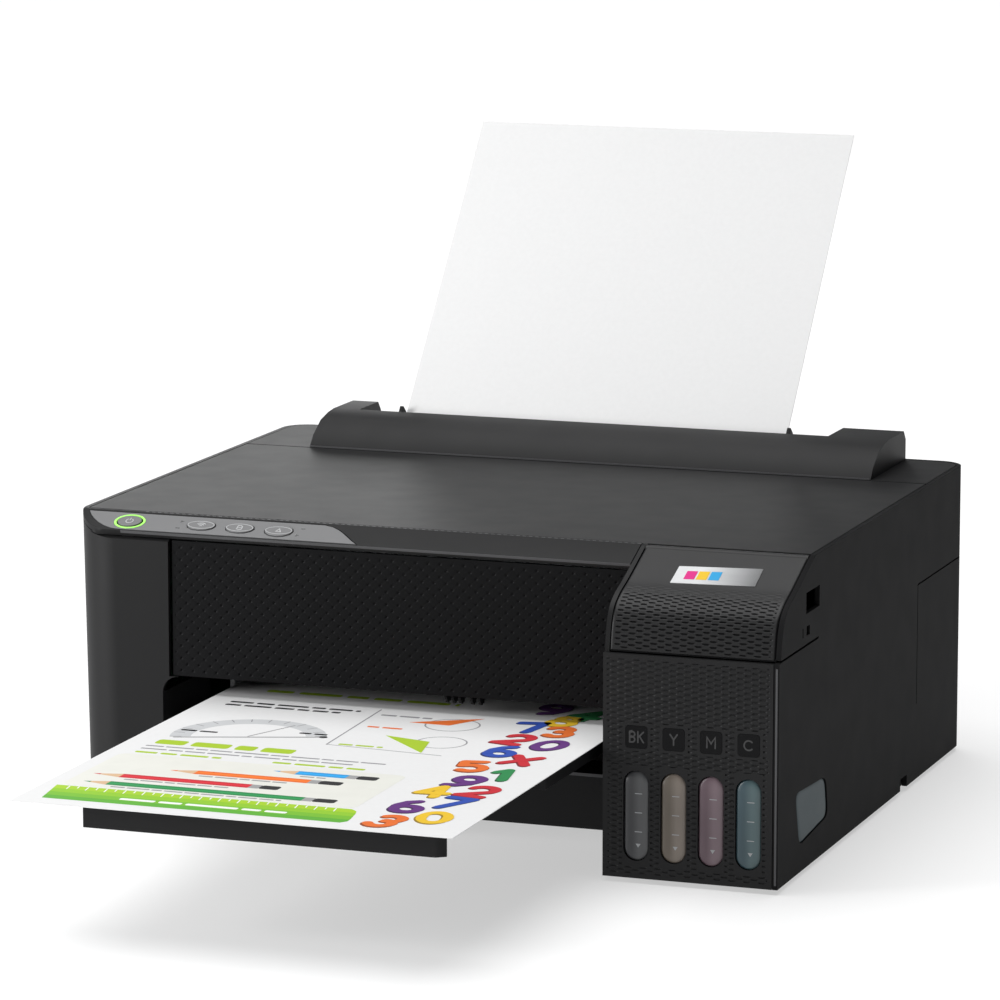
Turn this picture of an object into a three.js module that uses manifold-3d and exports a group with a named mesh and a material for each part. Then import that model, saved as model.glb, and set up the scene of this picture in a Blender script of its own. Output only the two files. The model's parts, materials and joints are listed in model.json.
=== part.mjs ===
// Compact ink-tank inkjet printer with its paper tray pulled out, a printed sheet on the tray
// and a sheet loaded in the rear feeder. Millimetres, +Z up, the front faces -Y.
//
// Everything is drawn in the case frame: X = 0 in the middle of the case, Y = 0 at the face of the
// ink-tank unit, Z = 0 at the underside of the case. The group at the end moves that frame so that
// the origin is at the middle of the footprint, on the surface the feet stand on.

import * as THREE from "three";
import { mergeVertices } from "three/addons/utils/BufferGeometryUtils.js";
import Module from "manifold-3d";

const wasm = await Module();
wasm.setup();

// ---------------------------------------------------------------- driving dimensions

const WALL = 2.5;
const GAP = 0.4;

const HALF_WIDTH = 187.5;
const FRONT_Y = 40.5;
const REAR_Y = 335;
const TOP_Z = 147.3;
const FRONT_CORNER_R = 25;
const REAR_CORNER_R = 14;
const FOOT_HEIGHT = 2.5;

// Top strip in front of the printer cover: flat to SLOPE_Y, then sloping down to the lip.
const CREASE_Y = 60;
const SLOPE_Y = 57;
const SLOPE_DEG = 22.5;
const SLOPE_LENGTH = 17;

// Front face: column on the left, recessed panel, opening below the panel.
const COLUMN_RIGHT_X = -134;
const OPENING_LEFT_X = -137.4;
const OPENING_TOP_Z = 70.5;
const OPENING_CORNER_R = 8;
const PANEL_Y = 42;

// Ink-tank unit.
const TANK_X = 102.3;
const CHEEK_X = 185;
const TANK_SEAM_Z = 106.2;
const TANK_NAMES = ["black", "yellow", "magenta", "cyan"];
const TANK_FIRST_X = 118.7;
const TANK_PITCH = 18.15;
const WINDOW_WIDTH = 12.5;
const WINDOW_Z = [8.3, 51.4];
const CODE_SIZE = 10.8;
const CODE_Z = 62;

// Paper: one loaded sheet pack leaning in the feeder, one printed sheet on the tray.
const PAPER_WIDTH = 210;
const PAPER_LENGTH = 297;
const LOADED_X = -111.3;
const LOADED_FOOT = [237.3, 76.1];
const LOADED_LEAN_DEG = 50.15;
const LOADED_THICKNESS = 0.5;
const PRINTED_X = -111.5;
const PRINTED_FRONT_Y = -192;
const PRINTED_Z = 61.2;
const PRINTED_THICKNESS = 0.3;

// Output tray, both stages pulled out.
const TRAY_FRONT_Y = -185;
const TRAY_X = [-79, 88];
const TRAY_LIP_Z = [50.3, 60.4];

// Rear feeder housing.
const HUMP_X = [-149.5, 155.5];
const SLOT_X = [-135, 123];
const HUMP_FRONT_Y = 265;
const CREST_Y = 300;
const HUMP_REAR_Y = 332;

// Print mechanism.
const MECH_X = [-128, 176];
const PRINT_RIGHT_X = 106;
const CARRIAGE_X = 141;
const FRAME_Y = 197;
const FEED_AXIS = [178, 68.5];
const EJECT_AXIS = [118, 69];
const MODULE = 1;

// ---------------------------------------------------------------- solids

// A closed three.js geometry as a manifold solid.
function solid(geometry) {
  const flat = geometry.index ? geometry.toNonIndexed() : geometry;
  const bare = new THREE.BufferGeometry();
  bare.setAttribute("position", flat.getAttribute("position"));
  const merged = mergeVertices(bare, 1e-4);
  return new wasm.Manifold(
    new wasm.Mesh({
      numProp: 3,
      vertProperties: merged.attributes.position.array,
      triVerts: new Uint32Array(merged.index.array),
    }),
  );
}

// A manifold solid as flat-shaded geometry.
function geometryOf(body) {
  const mesh = body.getMesh();
  const geometry = new THREE.BufferGeometry();
  geometry.setAttribute("position", new THREE.BufferAttribute(mesh.vertProperties, 3));
  geometry.setIndex(new THREE.BufferAttribute(mesh.triVerts, 1));
  const flat = geometry.toNonIndexed();
  flat.computeVertexNormals();
  return flat;
}

const join = (first, ...others) => others.reduce((sum, next) => sum.add(next), first);
const cut = (body, ...tools) => tools.reduce((rest, tool) => rest.subtract(tool), body);

function block([x0, x1], [y0, y1], [z0, z1]) {
  const box = new THREE.BoxGeometry(x1 - x0, y1 - y0, z1 - z0);
  box.translate((x0 + x1) / 2, (y0 + y1) / 2, (z0 + z1) / 2);
  return solid(box);
}

// Both winding orders are accepted: ExtrudeGeometry turns an outline the right way round.
const shapeOf = (outline) =>
  outline instanceof THREE.Shape
    ? outline
    : new THREE.Shape(outline.map(([a, b]) => new THREE.Vector2(a, b)));

function prism(outline, depth, basis, segments) {
  const options = { depth, bevelEnabled: false, curveSegments: segments };
  return solid(new THREE.ExtrudeGeometry(shapeOf(outline), options).applyMatrix4(basis));
}

const axes = (x, y, z, origin) =>
  new THREE.Matrix4().makeBasis(x, y, z).setPosition(...origin);
const X = new THREE.Vector3(1, 0, 0);
const Y = new THREE.Vector3(0, 1, 0);
const Z = new THREE.Vector3(0, 0, 1);

// Outlines in (y, z), (x, z) and (x, y), drawn out along the third axis.
const prismX = (outline, [x0, x1], segments = 6) =>
  prism(outline, x1 - x0, axes(Y, Z, X, [x0, 0, 0]), segments);
const prismY = (outline, [y0, y1], segments = 6) =>
  prism(outline, y1 - y0, axes(X, Z, Y.clone().negate(), [0, y1, 0]), segments);
const prismZ = (outline, [z0, z1], segments = 6) =>
  prism(outline, z1 - z0, axes(X, Y, Z, [0, 0, z0]), segments);

function circle(a, b, r) {
  const shape = new THREE.Shape();
  shape.absarc(a, b, r, 0, 2 * Math.PI);
  return shape;
}

function ellipse(a, b, ra, rb) {
  const shape = new THREE.Shape();
  shape.absellipse(a, b, ra, rb, 0, 2 * Math.PI);
  return shape;
}

// A rectangle with round corners; r = half its short side makes a capsule.
function roundRect([a0, a1], [b0, b1], r) {
  const shape = new THREE.Shape();
  shape.absarc(a1 - r, b0 + r, r, -Math.PI / 2, 0);
  shape.absarc(a1 - r, b1 - r, r, 0, Math.PI / 2);
  shape.absarc(a0 + r, b1 - r, r, Math.PI / 2, Math.PI);
  shape.absarc(a0 + r, b0 + r, r, Math.PI, 1.5 * Math.PI);
  shape.closePath();
  return shape;
}

const rodX = ([y, z], r, xs, segments = 5) => prismX(circle(y, z, r), xs, segments);
const rodY = ([x, z], r, ys, segments = 5) => prismY(circle(x, z, r), ys, segments);
const rodZ = ([x, y], r, zs, segments = 5) => prismZ(circle(x, y, r), zs, segments);

// ---------------------------------------------------------------- materials and pieces

const printer = new THREE.Group();

const paint = (color, roughness = 0.6, metalness = 0) =>
  new THREE.MeshStandardMaterial({ color, roughness, metalness });
const MATTE_BLACK = () => paint(0x1d1d1f, 0.62);
const SOFT_BLACK = () => paint(0x151517, 0.7);
const PANEL_GREY = () => paint(0x55575a, 0.45);
const STEEL = () => paint(0xa9adb1, 0.35, 0.9);
const RUBBER = () => paint(0x202020, 0.9);
const NYLON = () => paint(0xd8d5cc, 0.5);
const PAPER = () => paint(0xf4f4f2, 0.9);

function piece(name, body, material) {
  const mesh = new THREE.Mesh(geometryOf(body), material);
  mesh.name = name;
  printer.add(mesh);
}

// ---------------------------------------------------------------- case outline and slopes

// Plan of the case behind the front face, moved in by inset.
function casePlan(inset) {
  const shape = new THREE.Shape();
  const half = HALF_WIDTH - inset;
  const frontR = FRONT_CORNER_R - inset;
  const rearR = REAR_CORNER_R - inset;
  const cornerX = HALF_WIDTH - REAR_CORNER_R;
  const cornerY = REAR_Y - REAR_CORNER_R;
  const frontX = -HALF_WIDTH + FRONT_CORNER_R;
  const frontY = FRONT_Y + FRONT_CORNER_R;
  shape.moveTo(half, FRONT_Y + inset);
  shape.lineTo(half, cornerY);
  shape.absarc(cornerX, cornerY, rearR, 0, Math.PI / 2);
  shape.absarc(-cornerX, cornerY, rearR, Math.PI / 2, Math.PI);
  shape.absarc(frontX, frontY, frontR, Math.PI, 1.5 * Math.PI);
  shape.closePath();
  return shape;
}

const CASE_SKIN = () =>
  cut(prismZ(casePlan(0), [0, TOP_Z], 8), prismZ(casePlan(WALL), [-1, TOP_Z + 1], 8));

// Points on the sloped strip: s runs down the slope from SLOPE_Y, depth runs into the surface.
const SLOPE = THREE.MathUtils.degToRad(SLOPE_DEG);
const slopeY = (s, depth = 0) => SLOPE_Y - s * Math.cos(SLOPE) + depth * Math.sin(SLOPE);
const slopeZ = (s, depth = 0) => TOP_Z - s * Math.sin(SLOPE) - depth * Math.cos(SLOPE);
const slopePoint = (s, depth) => [slopeY(s, depth), slopeZ(s, depth)];

// An outline in (x, s) sunk from depth0 to depth1 below the sloped strip.
function prismSlope(outline, [depth0, depth1], segments = 6) {
  const down = new THREE.Vector3(0, -Math.cos(SLOPE), -Math.sin(SLOPE));
  const inward = new THREE.Vector3(0, Math.sin(SLOPE), -Math.cos(SLOPE));
  const start = [0, slopeY(0, depth0), slopeZ(0, depth0)];
  return prism(outline, depth1 - depth0, axes(X, down, inward, start), segments);
}

// Everything above the underside of the sloped strip and its lip, in front of the crease.
const LIP = { depth: 3.2, width: 2.2 };
const ABOVE_STRIP = (depth) =>
  prismX(
    [
      [CREASE_Y + GAP, TOP_Z - depth],
      slopePoint(0, depth),
      slopePoint(SLOPE_LENGTH - LIP.width - GAP, depth),
      slopePoint(SLOPE_LENGTH - LIP.width - GAP, LIP.depth + GAP),
      slopePoint(SLOPE_LENGTH + 40, LIP.depth + GAP),
      [-10, 200],
      [CREASE_Y + GAP, 200],
    ],
    [-200, TANK_X - GAP],
  );

// Side view of the ink-tank unit's top, from the crease down to the seam, moved in by inset.
function tankProfile(inset, steps = 14) {
  const curve = new THREE.SplineCurve(
    [
      [SLOPE_Y, TOP_Z],
      [42, 141.1],
      [28, 135.4],
      [17, 131.4],
      [9.5, 126.8],
      [5.4, 120.2],
      [3.6, 113],
      [2.6, TANK_SEAM_Z + 0.7],
    ].map(([y, z]) => new THREE.Vector2(y, z)),
  );
  return Array.from({ length: steps + 1 }, (_, i) => {
    const p = curve.getPoint(i / steps);
    const t = curve.getTangent(i / steps);
    return [p.x - t.y * inset, p.y + t.x * inset];
  });
}

// ---------------------------------------------------------------- casing

function lowerCase() {
  const margin = WALL + GAP;
  const half = HALF_WIDTH - margin;
  const rear = REAR_Y - margin;
  const cornerX = HALF_WIDTH - REAR_CORNER_R;
  const cornerY = REAR_Y - REAR_CORNER_R;
  const r = REAR_CORNER_R - margin;
  const bayRight = TANK_X - GAP;
  const plan = new THREE.Shape();
  plan.moveTo(-139, 62);
  plan.lineTo(-139, 85);
  plan.lineTo(bayRight, 85);
  plan.lineTo(bayRight + WALL + 2 * GAP, 85);
  plan.lineTo(bayRight + WALL + 2 * GAP, WALL + GAP);
  plan.lineTo(half, WALL + GAP);
  plan.absarc(cornerX, cornerY, r, 0, Math.PI / 2);
  plan.absarc(-cornerX, cornerY, r, Math.PI / 2, Math.PI);
  plan.lineTo(-half, 84);
  plan.lineTo(-172, 62);
  const wallZ = [0, 38];
  // The front wall under the opening: a shelf, an upright face and a chamfer back to the floor.
  const frontWall = [
    [46, 37],
    [46, 10],
    [85, 0],
    [86, WALL],
    [48.5, 12],
    [48.5, 34.5],
    [58, 34.5],
    [58, 37],
  ];
  const frontX = [OPENING_LEFT_X + WALL + 3 * GAP, bayRight];
  const endWall = [[46, 37], [46, 10], [85, 0], [120, 0], [120, 37]];
  const rearWallY = [rear - WALL, rear];
  const sideWall = (x) => block([x, x + WALL], [110, cornerY], wallZ);
  return join(
    prismZ(plan, [0, WALL]),
    prismX(frontWall, frontX),
    prismX(endWall, [bayRight - WALL, bayRight]),
    block([-cornerX, cornerX], rearWallY, wallZ),
    sideWall(-half),
    sideWall(half - WALL),
  );
}

function leftHousing() {
  const front = block([-200, COLUMN_RIGHT_X], [30, 200], [0, TOP_Z]);
  const rear = block([-200, -150.2], [199.9, 340], [0, TOP_Z]);
  const skin = CASE_SKIN().intersect(join(front, rear));
  const bayWall = block([OPENING_LEFT_X - WALL, OPENING_LEFT_X], [FRONT_Y, 100], [WALL + GAP, 62]);
  const besideOpening = block([OPENING_LEFT_X, COLUMN_RIGHT_X + 1], [30, 50], [-1, OPENING_TOP_Z - 8]);
  // Round corner where the column meets the top of the opening.
  const corner = new THREE.Shape();
  const r = OPENING_CORNER_R;
  const top = OPENING_TOP_Z - GAP;
  corner.moveTo(OPENING_LEFT_X - 1, top);
  corner.lineTo(OPENING_LEFT_X + r, top);
  corner.absarc(OPENING_LEFT_X + r, top - r, r, Math.PI / 2, Math.PI);
  corner.lineTo(OPENING_LEFT_X - 1, top - r);
  const trimmed = cut(skin, besideOpening, block([OPENING_LEFT_X, 0], [30, 50], [55, top]));
  return cut(
    join(trimmed, bayWall, prismY(corner, [FRONT_Y, FRONT_Y + WALL])),
    ABOVE_STRIP(WALL + GAP),
    coverSockets(),
  );
}

const SIDE_WINDOW = [[28, 39.5], [79, 37], [83, 17], [35, 13]];

// The side window's four-sided outline with round corners, grown by extra.
function sideWindow(extra) {
  const corners = SIDE_WINDOW.map(([y, z]) => new THREE.Vector2(y, z));
  const centre = corners.reduce((sum, p) => sum.add(p), new THREE.Vector2()).divideScalar(4);
  const grown = corners.map((p) => p.clone().add(p.clone().sub(centre).setLength(extra)));
  const round = 6;
  const shape = new THREE.Shape();
  grown.forEach((p, i) => {
    const before = grown[(i + 3) % 4];
    const after = grown[(i + 1) % 4];
    const start = p.clone().add(before.clone().sub(p).setLength(round));
    const end = p.clone().add(after.clone().sub(p).setLength(round));
    if (i === 0) shape.moveTo(start.x, start.y);
    else shape.lineTo(start.x, start.y);
    shape.quadraticCurveTo(p.x, p.y, end.x, end.y);
  });
  shape.closePath();
  return shape;
}

const TANK_HINGE = [SLOPE_Y - 0.4, TOP_Z - 3];

// Small features of the right wall, as [y] and [z] ranges: the seam line below the tank cover, the
// finger recess beside it, two latch slots, a notch in the lower edge and the lines of the rear hatch.
const SEAM_SLIT = { y: [-1, 64], z: [TANK_SEAM_Z + 0.4, TANK_SEAM_Z + 1.4] };
const FINGER_RECESS = { y: [43, 65], z: [122, 132] };
const LATCH_SLOTS = [
  { y: [44, 49], z: [111.5, 116] },
  { y: [37.4, 38.6], z: [111.5, 116] },
];
const LOWER_NOTCH = { y: [213, 225], z: [-1, 6] };
const HATCH_LINES = [
  { y: [241, 340], z: [99.6, 100.4] },
  { y: [241, 241.8], z: [39, 100] },
];

function rightSideCover() {
  const cornerY = REAR_Y - REAR_CORNER_R;
  const side = [
    [0, 0],
    [0, TANK_SEAM_Z],
    ...tankProfile(0).reverse(),
    [cornerY + 0.1, TOP_Z],
    [cornerY + 0.1, 0],
  ];
  const rear = CASE_SKIN().intersect(block([150.2, 200], [cornerY, 340], [0, TOP_Z]));
  const cheek = [CHEEK_X - 1, HALF_WIDTH + 1];
  const groove = [HALF_WIDTH - 0.8, HALF_WIDTH + 1];
  return cut(
    join(prismX(side, [CHEEK_X, HALF_WIDTH]), rear),
    prismX(sideWindow(0), cheek, 4),
    ...[SEAM_SLIT, FINGER_RECESS, LOWER_NOTCH, ...LATCH_SLOTS].map(({ y, z }) => block(cheek, y, z)),
    ...HATCH_LINES.map(({ y, z }) => block(groove, y, z)),
    rodX(TANK_HINGE, 1.9, [CHEEK_X - 1, CHEEK_X + 1.7]),
    coverSockets(),
  );
}

const INLET = { x: 118, z: 60, width: 24, height: 17 };
const USB = { x: -118, z: 58, width: 15, height: 14 };

function rearCover() {
  const plate = CASE_SKIN().intersect(block([-149.8, 149.8], [300, 340], [0, TOP_Z - WALL - GAP]));
  const hole = ({ x, z, width, height }) =>
    block(
      [x - width / 2 - GAP, x + width / 2 + GAP],
      [REAR_Y - WALL - 1, REAR_Y + 1],
      [z - height / 2 - GAP, z + height / 2 + GAP],
    );
  const vents = [0, 1, 2, 3, 4, 5].map((i) =>
    block([-40 + 14 * i, -34 + 14 * i], [REAR_Y - WALL - 1, REAR_Y + 1], [20, 44]),
  );
  return cut(plate, hole(INLET), hole(USB), ...vents);
}

// Lean of the loaded paper: along runs up the sheet, out runs from the sheet to its front.
const LEAN = THREE.MathUtils.degToRad(LOADED_LEAN_DEG);
const leanPoint = (along, out = 0) => [
  LOADED_FOOT[0] + along * Math.cos(LEAN) - out * Math.sin(LEAN),
  LOADED_FOOT[1] + along * Math.sin(LEAN) + out * Math.cos(LEAN),
];
// A slab parallel to the sheet.
const leanSlab = (xs, [along0, along1], [out0, out1]) =>
  prismX(
    [
      leanPoint(along0, out0),
      leanPoint(along1, out0),
      leanPoint(along1, out1),
      leanPoint(along0, out1),
    ],
    xs,
  );

const GUARD_AXIS = [CREST_Y - 3.4, 157.6];
const COVER_REAR_Y = HUMP_FRONT_Y - 1.2;

// The hump's side view, moved in by inset.
function humpSide(inset) {
  return [
    [HUMP_FRONT_Y + inset, TOP_Z - WALL - (inset ? 1 : 0)],
    [HUMP_FRONT_Y + inset, TOP_Z - inset * 0.3],
    [270 + inset * 0.8, 153 - inset * 0.8],
    [281 + inset * 0.4, 159.5 - inset],
    [292, 162 - inset],
    [CREST_Y, 162.8 - inset],
  ];
}

function rearFeedHousing() {
  const deckZ = [TOP_Z - WALL, TOP_Z];
  const deckPlan = prismZ(casePlan(WALL + GAP), deckZ, 8);
  const behindCover = block([-200, 200], [COVER_REAR_Y + 1.1, 340], [100, 200]);
  const deck = deckPlan.intersect(behindCover);
  const rearEdge = [
    [HUMP_REAR_Y - 4, 162.8],
    [HUMP_REAR_Y, 158],
    [HUMP_REAR_Y, TOP_Z - WALL],
  ];
  const hump = prismX([...humpSide(0), ...rearEdge], HUMP_X);
  const hollow = prismX(
    [...humpSide(WALL), [CREST_Y + 0.1, 140], [HUMP_FRONT_Y + WALL, 140]],
    [SLOT_X[0], SLOT_X[1]],
  );
  const slot = block(SLOT_X, [CREST_Y, 340], [TOP_Z, 200]);
  const slotFloor = block(SLOT_X, [HUMP_FRONT_Y + WALL, 318], [130, TOP_Z + 0.1]);
  const cheekCores = [
    [HUMP_X[0] + WALL, SLOT_X[0] - WALL],
    [SLOT_X[1] + WALL, HUMP_X[1] - WALL],
  ].map((xs) => block(xs, [282, HUMP_REAR_Y - WALL], [130, 157]));
  const shell = cut(join(deck, hump), hollow, slot, slotFloor, ...cheekCores);
  // The chute behind the sheet, its foot and the two side walls that carry it.
  const chuteX = [SLOT_X[0] + 12, SLOT_X[1] - 12];
  const chute = leanSlab(chuteX, [-3, 106], [-4, -1.4]);
  const foot = leanSlab(chuteX, [-4, -0.6], [-4, 7]);
  const wallSide = [
    leanPoint(-4, -4),
    leanPoint(94, -4),
    [HUMP_FRONT_Y + WALL, TOP_Z - 1],
    [HUMP_FRONT_Y + WALL, TOP_Z - 12],
    leanPoint(50, 17),
    leanPoint(-4, 17),
  ];
  const walls = [
    prismX(wallSide, [SLOT_X[0] - WALL, SLOT_X[0]]),
    prismX(wallSide, [SLOT_X[1], SLOT_X[1] + WALL]),
  ];
  const webs = [
    leanSlab([SLOT_X[0] - 1, chuteX[0] + 1], [80, 100], [-4, -1.4]),
    leanSlab([chuteX[1] - 1, SLOT_X[1] + 1], [80, 100], [-4, -1.4]),
    leanSlab([SLOT_X[0] - 1, chuteX[0] + 1], [0, 20], [-4, -1.4]),
    leanSlab([chuteX[1] - 1, SLOT_X[1] + 1], [0, 20], [-4, -1.4]),
  ];
  // Cut away where the pick-up shaft passes and where the guard swings.
  const shaftHole = rodX(PICKUP_AXIS, 3.4, [SLOT_X[0] - 5, SLOT_X[1] + 5]);
  const guardHoles = rodX(GUARD_AXIS, 1.5, [SLOT_X[0] - 1.6, SLOT_X[1] + 1.6]);
  return cut(join(shell, chute, foot, ...walls, ...webs), shaftHole, guardHoles);
}

const COVER_HINGE = [262, 145.5];
const COVER_PIN_R = 1;
const COVER_SOCKET_R = 1.3;
const coverSockets = () =>
  rodX(COVER_HINGE, COVER_SOCKET_R, [-HALF_WIDTH + 0.7, HALF_WIDTH - 0.7], 4);

function printerCover() {
  const plan = prismZ(casePlan(WALL + GAP), [TOP_Z - 60, TOP_Z], 8);
  const plate = plan.intersect(
    block([-200, 200], [CREASE_Y + GAP, COVER_REAR_Y], [TOP_Z - WALL, TOP_Z]),
  );
  const ribZ = [TOP_Z - 7, TOP_Z - WALL + 0.1];
  const frontRib = block([-150, 180], [66, 68], ribZ);
  const sideRibs = [-181, 179].map((x) => block([x, x + 2], [90, 250], ribZ));
  const crossRibs = [-90, 0, 90].map((x) => block([x, x + 2], [68, 250], ribZ));
  const pinReach = HALF_WIDTH - 1.1;
  const pins = rodX(COVER_HINGE, COVER_PIN_R, [-pinReach, pinReach], 4);
  return join(plate, frontRib, ...sideRibs, ...crossRibs, pins);
}

// Sloped strip with its flat land behind and its lip in front.
function frontBezel() {
  const strip = prismX(
    [
      [CREASE_Y - GAP / 2, TOP_Z],
      [SLOPE_Y, TOP_Z],
      slopePoint(SLOPE_LENGTH, 0),
      slopePoint(SLOPE_LENGTH, LIP.depth),
      slopePoint(SLOPE_LENGTH - LIP.width, LIP.depth),
      slopePoint(SLOPE_LENGTH - LIP.width, WALL),
      slopePoint(0, WALL),
      [CREASE_Y - GAP / 2, TOP_Z - WALL],
    ],
    [-200, TANK_X - GAP],
  );
  const body = strip.intersect(prismZ(casePlan(0), [100, 200], 8));
  const pocket = prismSlope(overlayOutline(0.35), [-1, OVERLAY.depth + 0.3]);
  return cut(body, pocket, ...BUTTONS.map((b) => prismSlope(b.outline(0.35), [-1, 6])));
}

const OVERLAY = { left: -170, depth: 0.8, top: 1.2, bottom: SLOPE_LENGTH - 1.2, right: -58 };

// The control panel's outline on the slope: a long strip whose right end swoops to the lip.
function overlayOutline(extra) {
  const { left, top, bottom, right } = OVERLAY;
  const shape = new THREE.Shape();
  shape.moveTo(left - 12 - extra, top - extra);
  shape.lineTo(right, top - extra);
  const swoop = right + 2 * extra;
  shape.bezierCurveTo(swoop + 9, top + 1, swoop + 15, bottom - 4, swoop + 21, bottom + extra);
  shape.lineTo(left + 10 - extra, bottom + extra);
  shape.bezierCurveTo(left, bottom, left - 8 - extra, top + 7, left - 12 - extra, top - extra);
  return shape;
}

const BUTTONS = [
  { name: "power_button", x: -157.5, s: 8.9, ra: 6.3, rb: 4.6 },
  { name: "wifi_button", x: -119.9, s: 8.6, ra: 7.3, rb: 4.2 },
  { name: "info_button", x: -99.6, s: 8.8, ra: 7.3, rb: 4.2 },
  { name: "stop_button", x: -79.2, s: 9, ra: 7.2, rb: 4.8 },
].map((b) => ({ ...b, outline: (extra) => ellipse(b.x, b.s, b.ra + extra, b.rb + extra) }));
const POWER_RING = { outer: [8, 6.1], inner: [6.9, 5.2] };

function controlPanel() {
  const trimmed = prismZ(casePlan(0.6), [100, 200], 8);
  const power = BUTTONS[0];
  const ringHole = ellipse(power.x, power.s, POWER_RING.outer[0] + 0.2, POWER_RING.outer[1] + 0.2);
  return cut(
    prismSlope(overlayOutline(0), [0, OVERLAY.depth]).intersect(trimmed),
    prismSlope(ringHole, [-1, 2]),
    ...BUTTONS.slice(1).map((b) => prismSlope(b.outline(0.35), [-1, 2])),
  );
}

function powerLightRing() {
  const { x, s } = BUTTONS[0];
  const outer = prismSlope(ellipse(x, s, ...POWER_RING.outer), [-0.05, OVERLAY.depth]);
  return cut(outer, prismSlope(ellipse(x, s, ...POWER_RING.inner), [-1, 2]));
}

// A button cap with a wider collar below the strip, which stops it from lifting out.
const button = (b) =>
  join(
    prismSlope(b.outline(0), [-0.5, 5.2]),
    prismSlope(b.outline(1.2), [4.2, 5.2]),
  );

function frontPanel() {
  const xs = [COLUMN_RIGHT_X + 0.6, TANK_X - GAP];
  const top = slopeZ(SLOPE_LENGTH, LIP.depth) - 0.6;
  const face = block(xs, [PANEL_Y, PANEL_Y + WALL], [OPENING_TOP_Z, top]);
  const underLip = block(xs, [PANEL_Y, PANEL_Y + 10], [OPENING_TOP_Z, OPENING_TOP_Z + WALL]);
  return join(face, underLip);
}

// ---------------------------------------------------------------- ink-tank unit

const tankX = (i) => TANK_FIRST_X + TANK_PITCH * i;
const windowOutline = (i, shrink) =>
  roundRect(
    [tankX(i) - WINDOW_WIDTH / 2 + shrink, tankX(i) + WINDOW_WIDTH / 2 - shrink],
    [WINDOW_Z[0] + shrink, WINDOW_Z[1] - shrink],
    WINDOW_WIDTH / 2 - shrink - 0.01,
  );

function tankFrontCover() {
  const rimSide = [
    [0, 0],
    [0, TANK_SEAM_Z],
    ...tankProfile(0).reverse(),
    [CREASE_Y - GAP / 2, TOP_Z],
    [CREASE_Y - GAP / 2, OPENING_TOP_Z],
    [84, OPENING_TOP_Z],
    [84, 0],
  ];
  const rim = prismX(rimSide, [TANK_X, TANK_X + 2.2]);
  const face = block([TANK_X, CHEEK_X - 0.3], [0, WALL], [0, TANK_SEAM_Z]);
  const codeRecess = (i) =>
    prismY(
      roundRect([tankX(i) - CODE_SIZE / 2, tankX(i) + CODE_SIZE / 2], [CODE_Z, CODE_Z + CODE_SIZE], 1.6),
      [-1, 0.4],
      3,
    );
  const windows = TANK_NAMES.map((_, i) => prismY(windowOutline(i, 0), [-1, WALL + 1], 5));
  const codes = TANK_NAMES.map((_, i) => codeRecess(i));
  const hingeHole = rodX(TANK_HINGE, 1.9, [TANK_X - 1, TANK_X + 3]);
  return cut(join(rim, face), ...windows, ...codes, hingeHole);
}

function tankCover() {
  const skin = [...tankProfile(0), ...tankProfile(2.2).reverse()];
  const xs = [TANK_X + 2.6, CHEEK_X - GAP];
  const barrel = rodX(TANK_HINGE, 3, xs, 6);
  const pins = rodX(TANK_HINGE, 1.5, [xs[0] - 1.8, xs[1] + 1.4]);
  return join(prismX(skin, xs), barrel, pins);
}

const TANK_DEPTH = [3.4, 76];
const TANK_HEIGHT = [4, 90];
const NECK_Y = 30;

function inkTank(i) {
  const x = tankX(i);
  const half = TANK_PITCH / 2 - 0.5;
  const wall = 1.6;
  const outer = block([x - half, x + half], TANK_DEPTH, TANK_HEIGHT);
  const inside = block(
    [x - half + wall, x + half - wall],
    [TANK_DEPTH[0] + wall, TANK_DEPTH[1] - wall],
    [TANK_HEIGHT[0] + wall, TANK_HEIGHT[1] - wall],
  );
  const neck = rodZ([x, NECK_Y], 5, [TANK_HEIGHT[1] - 1, 97], 6);
  const bore = rodZ([x, NECK_Y], 3.2, [TANK_HEIGHT[1] - 4, 98], 6);
  const lens = prismY(windowOutline(i, 0.4), [1, TANK_DEPTH[0] + 1], 5);
  const isLast = i === TANK_NAMES.length - 1;
  const sideLens = isLast ? [prismX(sideWindow(-0.5), [x + half - 1, HALF_WIDTH - 1], 4)] : [];
  return cut(join(outer, neck, lens, ...sideLens), inside, bore);
}

// Cap: a cup that closes over the neck, with a grip disc on top.
function inkCap(i) {
  const profile = [
    [0, 97.4],
    [5.4, 97.4],
    [5.4, 91],
    [6.8, 91],
    [6.8, 99.5],
    [4, 100.5],
    [4, 103],
    [6.2, 103.6],
    [6.2, 106],
    [0, 106],
  ].map(([r, z]) => new THREE.Vector2(r, z));
  const lathe = new THREE.LatheGeometry(profile, 20);
  lathe.rotateX(Math.PI / 2);
  lathe.translate(tankX(i), NECK_Y, 0);
  return solid(lathe);
}

// ---------------------------------------------------------------- paper and trays

const loadedPaper = () =>
  leanSlab([LOADED_X, LOADED_X + PAPER_WIDTH], [0, PAPER_LENGTH], [-LOADED_THICKNESS, 0]);

const printedSheet = () =>
  block(
    [PRINTED_X, PRINTED_X + PAPER_WIDTH],
    [PRINTED_FRONT_Y, PRINTED_FRONT_Y + PAPER_LENGTH],
    [PRINTED_Z, PRINTED_Z + PRINTED_THICKNESS],
  );

function edgeGuide(side) {
  const inner = side < 0 ? LOADED_X - 0.7 : LOADED_X + PAPER_WIDTH + 0.7;
  const xs = side < 0 ? [inner - 2, inner] : [inner, inner + 2];
  const base = side < 0 ? [inner - 9, inner] : [inner, inner + 9];
  return join(
    leanSlab(xs, [42, 77], [-1, 9]),
    leanSlab(xs, [76, 112], [-1, 4.6]),
    leanSlab(base, [50, 76], [-1, 0.8]),
  );
}

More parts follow.
